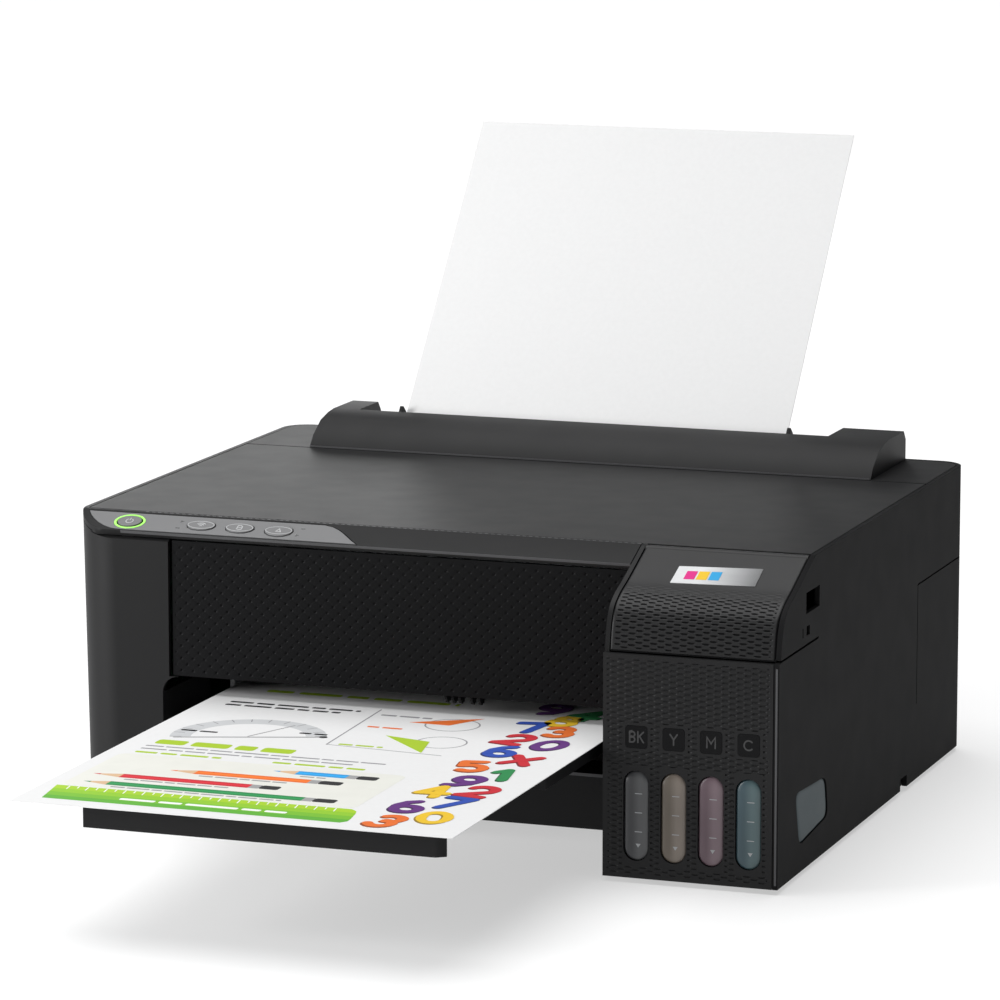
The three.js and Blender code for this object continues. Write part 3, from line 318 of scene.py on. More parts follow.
def softened(node, width, reshape=None, finish=None):
    """The CAD piece with its flat faces made whole and its edges rounded.

    reshape gives each corner's shift from its place, finish another material than its slot's.
    """
    source = frame["nodes"][node]
    mesh = bmesh.new()
    mesh.from_mesh(source.data)
    bmesh.ops.remove_doubles(mesh, verts=mesh.verts, dist=0.01 * MM)
    flat = math.radians(FLAT_ANGLE)
    bmesh.ops.dissolve_limit(mesh, angle_limit=flat, verts=mesh.verts, edges=mesh.edges)
    if reshape:
        for vertex in mesh.verts:
            vertex.co += reshape((vertex.co - ORIGIN) / MM) * MM
    steep = math.radians(ROUNDED_ANGLE)
    sharp = [e for e in mesh.edges if e.is_manifold and e.calc_face_angle(0) > steep]
    bmesh.ops.bevel(
        mesh,
        geom=sharp,
        offset=width * MM,
        segments=2,
        profile=0.6,
        affect="EDGES",
        clamp_overlap=True,
    )
    slot = source.data.materials[0].name.split(".")[0]
    piece(f"{node}_body", mesh, body_of(node), slot, finish or SLOTS[slot], replaces=[node])


def prism(mesh, outline, low, high, place, material=0, hole=None):
    """A closed plate with the outline, between two heights; hole is an inner outline as long."""

    def ring(points, up):
        return [mesh.verts.new(place(a, b, up)) for a, b in points]

    def wall(lower, upper):
        for i in range(len(lower)):
            j = (i + 1) % len(lower)
            made.append(mesh.faces.new((lower[i], lower[j], upper[j], upper[i])))

    made = []
    bottom, top = ring(outline, low), ring(outline, high)
    wall(bottom, top)
    if hole is None:
        made += [mesh.faces.new(bottom), mesh.faces.new(top)]
    else:
        inner_bottom, inner_top = ring(hole, low), ring(hole, high)
        wall(inner_bottom, inner_top)
        wall(bottom, inner_bottom)
        wall(top, inner_top)
    for face in made:
        face.material_index = material


def arc(centre, radius, start, end, count=12, squeeze=1.0):
    """Points on an arc between two angles; squeeze scales its second axis."""
    points = []
    for i in range(count + 1):
        turn = math.radians(start + (end - start) * i / count)
        high = radius * squeeze * math.sin(turn)
        points.append((centre[0] + radius * math.cos(turn), centre[1] + high))
    return points


def ellipse(centre, ra, rb, count=40):
    """Points round an ellipse with these two half widths."""
    return arc(centre, ra, 0, 360 * (1 - 1 / count), count - 1, rb / ra)


def round_rect(centre, width, height, r, count=5):
    """Points round a rectangle with rounded corners."""
    points = []
    for sx, sy, start in ((1, -1, -90), (1, 1, 0), (-1, 1, 90), (-1, -1, 180)):
        corner = (centre[0] + sx * (width / 2 - r), centre[1] + sy * (height / 2 - r))
        points += arc(corner, r, start, start + 90, count)
    return points


def ribbon(points, width, round_steps=5):
    """The outline of a line of even width with mitred corners and round ends."""
    half = width / 2
    path = [Vector(p) for p in points]
    runs = [(b - a).normalized() for a, b in zip(path, path[1:])]
    left, right = [], []
    for i, here in enumerate(path):
        ahead = (runs[max(i - 1, 0)] + runs[min(i, len(runs) - 1)]).normalized()
        mitre = 1 / max(0.5, ahead.dot(runs[min(i, len(runs) - 1)]))
        across = Vector((-ahead.y, ahead.x)) * half * mitre
        left.append(tuple(here + across))
        right.append(tuple(here - across))

    def cap(tip, run):
        facing = math.degrees(math.atan2(run.y, run.x))
        return arc(tip, half, facing + 90, facing - 90, round_steps)[1:-1]

    return left + cap(path[-1], runs[-1]) + right[::-1] + cap(path[0], -runs[0])


def pillow(mesh, outline, levels, place):
    """A closed cushion shape: outline(inset) at each (inset, height) of levels, back to front."""
    rings = [[mesh.verts.new(place(a, b, up)) for a, b in outline(inset)] for inset, up in levels]
    for lower, upper in zip(rings, rings[1:]):
        for i in range(len(lower)):
            j = (i + 1) % len(lower)
            mesh.faces.new((lower[i], lower[j], upper[j], upper[i]))
    mesh.faces.new(rings[0])
    mesh.faces.new(rings[-1])


def relief(mesh, across, along, place, height, back, deep=math.inf):
    """A closed skin over a surface: its front follows height(a, b), its plain back is at back.

    Front faces lower than deep get the piece's second material, which paints shade into the deepest
    hollows.
    """
    front, low = [], []
    for b in along:
        heights = [height(a, b) for a in across]
        front.append([mesh.verts.new(place(a, b, up)) for a, up in zip(across, heights)])
        low.append([up < -deep for up in heights])
    rear = [[mesh.verts.new(place(a, b, back)) for a in (across[0], across[-1])] for b in along]
    for j in range(len(along) - 1):
        for i in range(len(across) - 1):
            corners = (front[j][i], front[j][i + 1], front[j + 1][i + 1], front[j + 1][i])
            sunk = low[j][i] + low[j][i + 1] + low[j + 1][i + 1] + low[j + 1][i]
            mesh.faces.new(corners).material_index = 1 if sunk > 1 else 0
        mesh.faces.new((rear[j][0], rear[j][1], rear[j + 1][1], rear[j + 1][0]))
        mesh.faces.new((front[j][0], front[j + 1][0], rear[j + 1][0], rear[j][0]))
        mesh.faces.new((front[j][-1], front[j + 1][-1], rear[j + 1][1], rear[j][1]))
    mesh.faces.new(front[0] + rear[0][::-1])
    mesh.faces.new(front[-1] + rear[-1][::-1])


def steps(start, end, size):
    """Evenly spaced numbers from start to end, about size apart."""
    count = max(1, round((end - start) / size))
    return [start + (end - start) * i / count for i in range(count + 1)]


def near(value, period):
    """Distance to the nearest whole period."""
    return abs(value - period * round(value / period))


def step(value, start, end):
    """A smooth step from 0 at start to 1 at end."""
    t = max(0.0, min(1.0, (value - start) / (end - start)))
    return t * t * (3 - 2 * t)


# ---------------------------------------------------------------- casing

# CAD nodes that have a function of their own here.
OWN_FUNCTION = {
    "front_panel",
    "left_housing",
    "power_light_ring",
    "right_side_cover",
    "tank_cover",
    "tank_front_cover",
}

# How far the edges of the other nodes are rounded.
EDGE_WIDTH = 0.2
SHELL_EDGE_WIDTH = 0.5
SHEET_EDGE_WIDTH = 0.03
SHELLS = {"rear_cover", "rear_feed_housing", "printer_cover", "front_bezel"}
SHEETS = {"loaded_paper", "printed_sheet", "encoder_strip", "timing_belt"}


def carried_pieces():
    """CAD pieces that keep their shape, with their edges rounded."""
    for node in frame["nodes"]:
        if node in OWN_FUNCTION:
            continue
        if node in SHEETS:
            softened(node, SHEET_EDGE_WIDTH)
        elif node in SHELLS:
            softened(node, SHELL_EDGE_WIDTH)
        else:
            softened(node, EDGE_WIDTH)


def left_housing():
    """The left of the case, its outer wall drawn in a little towards the bottom."""
    draft = 2.6
    wall_x = -150

    def drawn_in(place):
        share = max(0.0, 1 - place.z / TOP_Z) if place.x < wall_x else 0.0
        return Vector((draft * share, 0, 0))

    softened("left_housing", 0.6, drawn_in)


def right_side_cover():
    """The right wall, with a flatter finish than the rest of the case."""
    softened("right_side_cover", SHELL_EDGE_WIDTH, finish=SIDE_WALL)


def front_panel():
    """The fixed front: a diagonal lattice of faint grooves with a small hole at each crossing, the
    holes painted near-black as shade.
    """
    pitch = 6.1
    spacing = 4.3
    groove_depth, hole_depth, plain_border = 0.07, 0.6, 1.5
    gap = 0.9
    left, right = span("front_panel", X)
    left += gap
    bottom, top = span("front_panel", Z)
    face = span("front_panel", Y)[0]

    def height(x, z):
        along = near(x / pitch + z / pitch, 1)
        other = near(x / pitch - z / pitch, 1)
        groove = groove_depth * (1 - step(min(along, other) * spacing, 0.15, 0.5))
        hole = hole_depth * (1 - step(math.hypot(along, other) * spacing, 0.32, 0.58))
        inside = min(x - left, right - x, z - bottom, top - z) > plain_border
        return -max(groove, hole) if inside else 0.0

    def place(x, z, up):
        return at(x, face - up, z)

    mesh = bmesh.new()
    across, upward = steps(left, right, pitch / 14), steps(bottom, top, pitch / 14)
    relief(mesh, across, upward, place, height, -2.3, 0.18)
    back, shelf_top = face + 10, bottom + 2.5
    shelf = [(face, bottom), (back, bottom), (back, shelf_top), (face + 2, shelf_top)]
    prism(mesh, shelf, left, right, side_on)
    # The second material paints the lattice holes near-black as shade.
    finish = (PANEL, GLOSS_BLACK_AND_PAINTED_SHADE)
    piece("front_panel_face", mesh, "chassis", "case_black", *finish, replaces=["front_panel"])


# ---------------------------------------------------------------- ink-tank unit

TANK_LEFT, TANK_RIGHT = span("tank_front_cover", X)
SEAM_Z = span("tank_cover", Z)[0] - 0.3
SKIN_BACK = -2.5
WINDOW_WIDTH = 12.5
WINDOW_Z = (8.3, 51.4)
CODE_Z = 67.4
CODE_SIZE = 10.8
CODES = ("BK", "Y", "M", "C")

# The last tank is the wide one: its window is this far from its left side.
LAST_WINDOW_X = 8.6

# The flat plates round each window and each code recess: half width, bottom and top.
WINDOW_PLATE = (6.9, 5.6, 54.1)
CODE_PLATE = (6.9, 60.7, 74.1)

# The moulded dashes: their pitches, their depth, and the size of a relief's cells on them.
DASH_PITCH_X, DASH_PITCH_ROW = 7.2, 2.7
DASH_DEPTH = 0.5
CELL_X, CELL_ROW = 0.6, 0.225


def tank_x(i):
    """The middle of each tank's window, across the unit."""
    left, right = span(f"ink_tank_{TANKS[i]}", X)
    return (left + right) / 2 if i < 3 else left + LAST_WINDOW_X


def brick_dimple(x, row, strength=1.0):
    """Depth of the staggered small dashes moulded into the tank unit."""
    deepest = 0.0
    for shift in (0, 0.5):
        dx = near(x - shift * DASH_PITCH_X, DASH_PITCH_X)
        dz = near(row - shift * DASH_PITCH_ROW, DASH_PITCH_ROW)
        ends = 1 - step(dx, 1.35, 1.6)
        slope = 1 - step(dz, 0.2, 0.5)
        deepest = max(deepest, ends * slope)
    return DASH_DEPTH * deepest * strength


def onto_box(point, centre, half_x, low, high):
    """Where the ray from the centre through a point leaves a box."""
    dx, dz = point[0] - centre[0], point[1] - centre[1]
    reach_z = (high if dz > 0 else low) - centre[1]
    share = min(half_x / max(abs(dx), 1e-6), reach_z / dz if abs(dz) > 1e-6 else math.inf)
    return centre[0] + dx * share, centre[1] + dz * share


def holed_plate(mesh, hole, half_x, low, high):
    """A flat patch of the face, from low to high, with a hole through its middle."""
    xs = [x for x, _ in hole]
    centre = ((min(xs) + max(xs)) / 2, (low + high) / 2)
    corners = [(centre[0] + sx * half_x, z) for sx in (-1, 1) for z in (low, high)]
    outline = [onto_box(p, centre, half_x, low, high) for p in hole]
    for corner in corners:
        nearest = min(range(len(outline)), key=lambda k: math.dist(outline[k], corner))
        outline[nearest] = corner
    prism(mesh, outline, SKIN_BACK, 0, on_face, hole=hole)


def capsule(i, inset):
    """Outline of a tank window, drawn in by inset."""
    width = WINDOW_WIDTH - 2 * inset
    height = WINDOW_Z[1] - WINDOW_Z[0] - 2 * inset
    middle = (tank_x(i), sum(WINDOW_Z) / 2)
    return round_rect(middle, width, height, width / 2 - 0.01, 9)


def tank_front():
    """Face of the ink-tank unit: dashes all over it, round the windows and the code recesses."""
    plain_border = 2.4
    mesh = bmesh.new()

    def height(x, z):
        edge = min(x - TANK_LEFT, TANK_RIGHT - x, z, SEAM_Z - z)
        return -brick_dimple(x, z) if edge > plain_border else 0.0

    def patch(x0, x1, z0, z1):
        cells = steps(x0, x1, CELL_X), steps(z0, z1, CELL_ROW)
        relief(mesh, *cells, on_face, height, SKIN_BACK)

    half, window_low, window_high = WINDOW_PLATE
    code_low, code_high = CODE_PLATE[1:]
    patch(TANK_LEFT, TANK_RIGHT, 0, window_low)
    patch(TANK_LEFT, TANK_RIGHT, window_high, code_low)
    patch(TANK_LEFT, TANK_RIGHT, code_high, SEAM_Z)
    plate_sides = [tank_x(i) + side * half for i in range(4) for side in (-1, 1)]
    edges = [TANK_LEFT, *plate_sides, TANK_RIGHT]
    for x0, x1 in zip(edges[::2], edges[1::2]):
        patch(x0, x1, window_low, window_high)
        patch(x0, x1, code_low, code_high)
    for i in range(4):
        holed_plate(mesh, capsule(i, 0), half, window_low, window_high)
        square = round_rect((tank_x(i), CODE_Z), CODE_SIZE, CODE_SIZE, 1.6)
        holed_plate(mesh, square, half, code_low, code_high)
    piece(
        "tank_front_face", mesh, "chassis", "case_black", TANK_FACE, replaces=["tank_front_cover"]
    )


# The side view of the tank unit's top, as (y, z) from the crease down to the seam.
KNOTS = (
    (57, 147.3),
    (42, 141.1),
    (28, 135.4),
    (17, 131.4),
    (9.5, 126.8),
    (5.4, 120.2),
    (3.6, 113),
    (2.6, 106.9),
)


def profile(t):
    """A point of the curve through the knots, and its outward direction; t runs from 0 to 1."""
    last = len(KNOTS) - 1
    spot = min(t * last, last - 1e-9)
    i = int(spot)
    w = spot - i
    a, b, c, d = (Vector(KNOTS[min(max(i + k, 0), last)]) for k in (-1, 0, 1, 2))
    leave, arrive = (c - a) / 2, (d - b) / 2
    cubic = 2 * b - 2 * c + leave + arrive
    square = 3 * c - 3 * b - 2 * leave - arrive
    place = cubic * w**3 + square * w**2 + leave * w + b
    heading = 3 * cubic * w**2 + 2 * square * w + leave
    heading.normalize()
    return place, Vector((heading.y, -heading.x))


def profile_lengths(count=400):
    """Distance along the profile at even values of t."""
    lengths = [0.0]
    for i in range(count):
        lengths.append(lengths[-1] + (profile((i + 1) / count)[0] - profile(i / count)[0]).length)
    return lengths


LENGTHS = profile_lengths()
COVER_LENGTH = LENGTHS[-1]


def on_cover(x, s, up=0):
    """A point on the tank cover: s is the distance down its side view from the crease."""
    i = next(k for k in range(1, len(LENGTHS)) if LENGTHS[k] >= min(s, COVER_LENGTH) - 1e-9)
    share = (min(s, COVER_LENGTH) - LENGTHS[i - 1]) / (LENGTHS[i] - LENGTHS[i - 1])
    place, out = profile((i - 1 + share) / (len(LENGTHS) - 1))
    place = place + out * up
    return at(x, place.x, place.y)


def tank_cover():
    """The lid over the tanks: a curved skin, dashed on its lower half, with its hinge barrel; its
    deepest dashes and the sunk strip along its edges are painted near-black as shade, and the skin
    is painted lighter than the case as light.
    """
    smooth_length, fade = 33, 14
    left, right = TANK_LEFT + 2.6, SIDE_X - 2.9
    across = steps(left, right, CELL_X)
    smooth = steps(0, smooth_length, 1.1)
    dashed = steps(smooth_length, COVER_LENGTH, CELL_ROW)

    def height(x, s):
        edge = min(x - left, right - x, COVER_LENGTH - s)
        if edge < 0.5:
            return -0.35
        if edge < 1.8 or s < smooth_length:
            return 0.0
        return -brick_dimple(x, s, step(s, smooth_length, smooth_length + fade))

    mesh = bmesh.new()
    relief(mesh, across, smooth[:-1] + dashed, on_cover, height, -2.2, 0.3)
    hinge = (span("tank_cover", Y)[1] - 3, TOP_Z - 3)
    prism(mesh, ellipse(hinge, 3, 3, 28), left, right, side_on)
    prism(mesh, ellipse(hinge, 1.5, 1.5, 20), left - 1.8, right + 1.4, side_on)
    # A skin painted lighter than the case as light, with painted shade in its deepest hollows.
    finish = (COVER_PAINTED_LIGHTER, GLOSS_BLACK_AND_PAINTED_SHADE)
    piece("tank_cover_skin", mesh, "tank_cover", "case_black", *finish, replaces=["tank_cover"])


def tank_rim():
    """The narrow curved rim that the tank cover sits beside."""
    right = TANK_LEFT + 2.2
    front = [tuple(profile(t)[0]) for t in steps(0, 1, 0.02)]
    side = [(59.8, TOP_Z)] + front + [(2.5, SEAM_Z), (2.5, 100), (59.8, 100)]
    flank = [(2.5, 0), (2.5, 100), (60, 100), (60, 73), (84, 73), (84, 0)]
    mesh = bmesh.new()
    for outline in (side, flank):
        prism(mesh, outline, TANK_LEFT, right, side_on)
    piece("tank_rim", mesh, "chassis", "case_black")


def windows():
    """Domed clear lenses over the four tanks, each with its level marks."""
    dome = [(0.15, -2.4), (0.15, -1.3), (0.5, -0.8), (1.4, -0.35), (2.8, -0.1), (4.5, 0)]
    for i, colour in enumerate(TANKS):
        x = tank_x(i)
        lens = bmesh.new()
        pillow(lens, functools.partial(capsule, i), dome, on_face)
        # The lens colour is painted darker at its left and lighter at its right, as shade and a
        # highlight.
        piece(f"lens_{colour}", lens, "chassis", f"tank_{colour}")
        marks = bmesh.new()
        for z in (22.3, 31.4, 40.5):
            prism(marks, ribbon([(x - 0.4, z), (x + 2.8, z)], 0.4), -0.5, 0.08, on_face)
        prism(marks, [(x - 0.1, 16.6), (x + 2.3, 16.6), (x + 1.1, 14.8)], -0.5, 0.08, on_face)
        piece(f"level_marks_{colour}", marks, "chassis", f"tank_{colour}", TICK)


# Strokes of the ink codes' letters, about 0.7 wide and 1 high.
LETTERS = {
    "B": [
        [(-0.25, -0.5), (-0.25, 0.5)],
        [(-0.25, 0.5), (0, 0.5)] + arc((0, 0.25), 0.25, 90, -90, 6) + [(-0.25, 0)],
        [(-0.25, 0), (0, 0)] + arc((0, -0.25), 0.25, 90, -90, 6) + [(-0.25, -0.5)],
    ],
    "K": [[(-0.25, -0.5), (-0.25, 0.5)], [(0.3, 0.5), (-0.2, 0)], [(-0.1, 0.1), (0.3, -0.5)]],
    "Y": [[(-0.35, 0.5), (0, 0)], [(0.35, 0.5), (0, 0)], [(0, 0.05), (0, -0.5)]],
    "M": [[(-0.4, -0.5), (-0.4, 0.5), (0, -0.1), (0.4, 0.5), (0.4, -0.5)]],
    "C": [arc((0, 0), 0.45, 45, 315, 14)],
}


def code_badges():
    """A glossy square above each window with the usual code of its ink."""
    size = CODE_SIZE - 0.3
    letter_height, letter_pitch, stroke_width = 5, 4, 0.75
    for i, (colour, code) in enumerate(zip(TANKS, CODES)):
        x = tank_x(i)
        mesh = bmesh.new()
        prism(mesh, round_rect((x, CODE_Z), size, size, 1.5), -0.45, 0.05, on_face)
        for k, letter in enumerate(code):
            middle = x + (k - (len(code) - 1) / 2) * letter_pitch
            for depth, stroke in enumerate(LETTERS[letter]):
                line = [(middle + a * letter_height, CODE_Z + b * letter_height) for a, b in stroke]
                prism(mesh, ribbon(line, stroke_width), 0, 0.09 + 0.01 * depth, on_face, 1)
        piece(f"ink_code_{colour}", mesh, "chassis", "case_black", GLOSS_BLACK_AND_PAINTED_SHADE, CODE)


def tank_badge():
    """A silver slanted sticker on the tank cover with three small squares of ink colour."""
    top_edge = Vector((125.9, 16.7)), Vector((166.4, 14.6))
    bottom_edge = Vector((125.6, 31.1)), Vector((166.6, 29.7))

    def spot(a, b):
        top = top_edge[0].lerp(top_edge[1], a)
        bottom = bottom_edge[0].lerp(bottom_edge[1], a)
        return tuple(top.lerp(bottom, b))

    def patch(a0, a1, b0, b1):
        return [spot(a0, b0), spot(a1, b0), spot(a1, b1), spot(a0, b1)]

    mesh = bmesh.new()
    for k in range(16):
        for b0, b1 in ((0, 0.34), (0.34, 0.67), (0.67, 1)):
            prism(mesh, patch(k / 16, (k + 1) / 16, b0, b1), -0.2, 0.25, on_cover)
    # The film's colour is painted bright at its left and dark at its right, as a reflection.
    piece("tank_badge", mesh, "tank_cover", "panel_grey", SILVER)
    squares = bmesh.new()
    for k in range(3):
        a = 0.13 + 0.145 * k
        prism(squares, patch(a, a + 0.125, 0.28, 0.76), 0.1, 0.36, on_cover, k)
    inks = [ink(name) for name in ("magenta", "yellow", "cyan")]
    piece("tank_badge_squares", squares, "tank_cover", "panel_grey", *inks)


def side_window():
    """The clear window in the right wall, onto the last tank."""
    centre = Vector((56, 26.5))
    corners = [Vector(corner) for corner in ((28, 39.5), (79, 37), (83, 17), (35, 13))]
    corner_round = 6
    dome = [(0.4, -2), (0.4, -1), (0.9, -0.6), (2.5, -0.35), (5, -0.3)]

    def outline(inset):
        points = []
        shrunk = [c + (centre - c).normalized() * inset for c in corners]
        for k, corner in enumerate(shrunk):
            start = corner + (shrunk[k - 1] - corner).normalized() * corner_round
            end = corner + (shrunk[(k + 1) % 4] - corner).normalized() * corner_round
            for t in steps(0, 1, 0.2):
                points.append(tuple(start * (1 - t) ** 2 + corner * 2 * t * (1 - t) + end * t**2))
        return points

    mesh = bmesh.new()
    pillow(mesh, outline, dome, lambda y, z, up: at(SIDE_X + up, y, z))
    piece("side_lens", mesh, "chassis", "tank_cyan", SIDE_LENS)


# ---------------------------------------------------------------- control panel

# The strokes of each button's sign, about its middle.
ICONS = {
    "power_button": [arc((0, -0.2), 1.8, 125, 415, 16), [(0, 0.6), (0, 2.2)]],
    "wifi_button": [
        arc((0, -1.2), 0.6, 40, 140, 6),
        arc((0, -1.2), 1.7, 40, 140, 8),
        arc((0, -1.2), 2.8, 45, 135, 8),
    ],
    "info_button": [
        [(-1.2, -1.6), (-1.2, 1.6), (0.4, 1.6), (1.2, 0.8), (1.2, -1.6), (-1.2, -1.6)],
        [(-0.5, 0), (0.5, 0)],
    ],
    "stop_button": [[(-1.3, -1.2), (1.3, -1.2), (0, 1.3), (-1.3, -1.2)]],
}

# How far down the slope each button's middle is.
BUTTON_S = {"power_button": 8.9, "wifi_button": 8.6, "info_button": 8.8, "stop_button": 9}


def ring_light():
    """The lit ring round the power button."""
    low, high = span("power_light_ring", X)
    middle = ((low + high) / 2, BUTTON_S["power_button"])
    mesh = bmesh.new()
    prism(mesh, ellipse(middle, 8, 6.1), -0.6, 0.12, on_slope, hole=ellipse(middle, 6.9, 5.2))
    piece("power_ring", mesh, "chassis", "light_ring", replaces=["power_light_ring"])


def button_marks():
    """Light outlines and simple icons on the four buttons; each rides on its own button."""
    for node, icon in ICONS.items():
        left, right = span(node, X)
        x, s = (left + right) / 2, BUTTON_S[node]
        mesh = bmesh.new()
        for line in icon:
            prism(mesh, ribbon([(x + a, s - b) for a, b in line], 0.55), 0.3, 0.58, on_slope)
        if node != "power_button":
            ra = (right - left) / 2 - 1.9
            inner, outer = ellipse((x, s), ra, 2.9), ellipse((x, s), ra + 0.4, 3.3)
            prism(mesh, outer, 0.3, 0.55, on_slope, hole=inner)
        piece(f"{node}_mark", mesh, node, "panel_grey", MARK)


def panel_marks():
    """Small status lights and icons printed on the panel beside the buttons."""
    mesh = bmesh.new()
    for x, s in ((-130.6, 5.9), (-68.6, 11.7)):
        prism(mesh, [(x - 1, s - 0.9), (x - 1, s + 0.9), (x + 0.9, s)], -0.2, 0.06, on_slope)
    for x, s in ((-131.1, 11.9), (-67.7, 5.7)):
        prism(mesh, ribbon([(x - 0.9, s), (x + 0.9, s)], 0.6), -0.2, 0.06, on_slope)
    piece("panel_marks", mesh, "chassis", "panel_grey", LED)


def crease_dashes():
    """A row of fine slanted dashes along the crease in front of the lid, painted lighter as
    highlights.
    """
    mesh = bmesh.new()
    left, right = span("front_bezel", X)
    for x in steps(left + 34, right - 2, 3.2):
        dash = [(x, 58.2), (x + 1.7, 58.2), (x + 1, 59.3), (x - 0.7, 59.3)]
        prism(mesh, dash, -0.2, 0.05, lambda a, b, up: at(a, b, TOP_Z + up))
    piece("crease_dashes", mesh, "chassis", "case_black", PAINTED_HIGHLIGHT)


def painted_edge_highlights():
    """Thin strips painted lighter as highlights on edges: the slope's lip, the hump's foot, the
    tank unit's corner.
    """
    mesh = bmesh.new()
    left, right = span("front_panel", X)
    lip = [(16.9, -1.5), (17.12, -1.5), (17.12, -0.1), (16.9, -0.1)]
    prism(mesh, lip, left - 26, right - 0.2, lambda s, up, x: on_slope(x, s, up))
    foot = [(264.75, 147.4), (265.2, 147.4), (265.2, 148.2), (264.75, 148.2)]
    prism(mesh, foot, -149, 155, side_on)
    x0, x1, low, high = SIDE_X - 1.7, SIDE_X - 0.7, 2, SEAM_Z - 2
    prism(mesh, [(x0, low), (x1, low), (x1, high), (x0, high)], -0.2, 0.05, on_face)
    piece("painted_edge_highlights", mesh, "chassis", "case_black", PAINTED_HIGHLIGHT)


def opening_details():
    """What shows in the output opening: the front edge of the shelf, painted pale as a highlight,
    and small star wheels.
    """
    mesh = bmesh.new()
    right = TANK_LEFT - 1.5
    edge = [(45.7, 35.6), (46.3, 35.6), (46.3, 37.1), (45.7, 37.1)]
    prism(mesh, edge, right - 60, right, side_on)
    # The shelf edge is painted pale as a highlight.
    piece("shelf_edge", mesh, "chassis", "case_black", PAINTED_HIGHLIGHT)
    axle_y, axle_z = 49, 70
    wheels = bmesh.new()
    for x in (7, 10.5, 14, 20, 24):
        rim = []
        for k in range(24):
            turn = math.radians(15 * k)
            r = 3.4 if k % 2 else 4.4
            rim.append((axle_y + r * math.cos(turn), axle_z + r * math.sin(turn)))
        prism(wheels, rim, x, x + 1.2, side_on)
    piece("star_wheels", wheels, "chassis", "trim_black")


# ---------------------------------------------------------------- printed sheet

SHEET_LEFT = span("printed_sheet", X)[0]
SHEET_FRONT = span("printed_sheet", Y)[0]
SHEET_TOP = span("printed_sheet", Z)[1]

# How far each layer of print is above the one under it.
LAYER = 0.03


def on_sheet(u, v, up=0):
    """A point on the printed sheet: u from its left edge, v from its front edge."""
    return at(SHEET_LEFT + u, SHEET_FRONT + v, SHEET_TOP + up)


class Print:
    """Flat printed shapes on the sheet, made as one piece with several colours."""

    def __init__(self, name):
        self.name = name
        self.mesh = bmesh.new()
        self.colours = []

    def add(self, colour, outline, layer=1, hole=None):
        """A filled shape, with an inner outline cut out of it if there is one."""
        if colour not in self.colours:
            self.colours.append(colour)
        material = self.colours.index(colour)
        prism(self.mesh, outline, -0.1, LAYER * layer, on_sheet, material, hole)

    def bar(self, colour, u0, u1, v, height, layer=1, r=None):
        """A bar with rounded corners from u0 to u1, centred on v."""
        length = abs(u1 - u0)
        if r is None:
            r = min(length, height) * 0.3
        self.add(colour, round_rect(((u0 + u1) / 2, v), length, height, r, 3), layer)

    def line(self, colour, points, width, layer=1):
        """A line through the points."""
        self.add(colour, ribbon(points, width), layer)

    def words(self, colour, u0, u1, v, height, lengths, layer=1):
        """A row of word-like bars from u0 to u1, their lengths repeating the pattern."""
        u, k = u0, 0
        while u < u1 - 1:
            end = min(u1, u + lengths[k % len(lengths)])
            self.bar(colour, u, end, v, height, layer)
            u = end + height * 0.6
            k += 1

    def finish(self):
        """The shapes so far as a piece of the sheet."""
        inks = [ink(name) for name in self.colours]
        piece(self.name, self.mesh, "printed_sheet", "paper", *inks)


def printed_ruler():
    """A slanted ruler, deep green at its front edge and light at its back, with white ticks."""
    art = Print("print_ruler")
    front, back, left, right = 10.4, 35.8, 11, 157
    lean, bulge, bands = 4, 3.4, 8
    tick_v, tick_pitch = 35, 4.6

    def ends(share):
        bow = bulge * math.sqrt(max(0.0, 1 - (2 * share - 1) ** 4)) - bulge
        return left - lean * share, right - lean * share + bow

    for k in range(bands):
        low, high = k / bands, (k + 1) / bands
        v0, v1 = front + (back - front) * low, front + (back - front) * high
        (a0, b0), (a1, b1) = ends(low), ends(high)
        art.add(f"ruler{k // 2}", [(a0, v0), (b0, v0), (b1, v1), (a1, v1)])
    for k in range(29):
        u = 13.7 + tick_pitch * k
        tall = 5.5 if k % 2 == 0 else 3
        art.line("white", [(u, tick_v), (u + 0.15 * tall, tick_v - tall)], 0.6, 2)
    art.words("white", 45, 125, 19.5, 3.2, (17, 11, 25, 9, 14), 2)
    art.finish()


def printed_pencils():
    """A pale panel with four coloured pencils on it, each with a small caption."""
    art = Print("print_pencils")
    art.add("cream", round_rect((79, 71), 142, 68, 5))
    pencils = (
        ("green", 46.5, (15.4, 27.3, 122, 137.8)),
        ("red", 62, (13.4, 27.1, 90.1, 104.5)),
        ("orange", 79.5, (43.8, 56.3, 111.8, 127.7)),
        ("sky", 94, (88.4, 100, 124.5, 139.5)),
    )
    for colour, v, (tip, cone, body, end) in pencils:
        art.add("wood", [(tip, v), (cone, v - 3.5), (cone, v + 3.5)], 2)
        art.add(colour, [(tip, v), (tip + 3.4, v - 1), (tip + 3.4, v + 1)], 3)
        for side, shade_of in ((-2.35, colour), (0, f"{colour}_light"), (2.35, colour)):
            art.bar(shade_of, cone, body, v + side, 2.3, 2, 0.1)
        art.bar("steel", body, body + 5, v, 6.8, 2, 0.2)
        art.bar("dark", body + 5, end, v, 6.8, 2, 1.6)
        art.words("grey", cone + 4, body - 8, v - 6.3, 1.7, (7, 11, 5, 9), 2)
    art.finish()


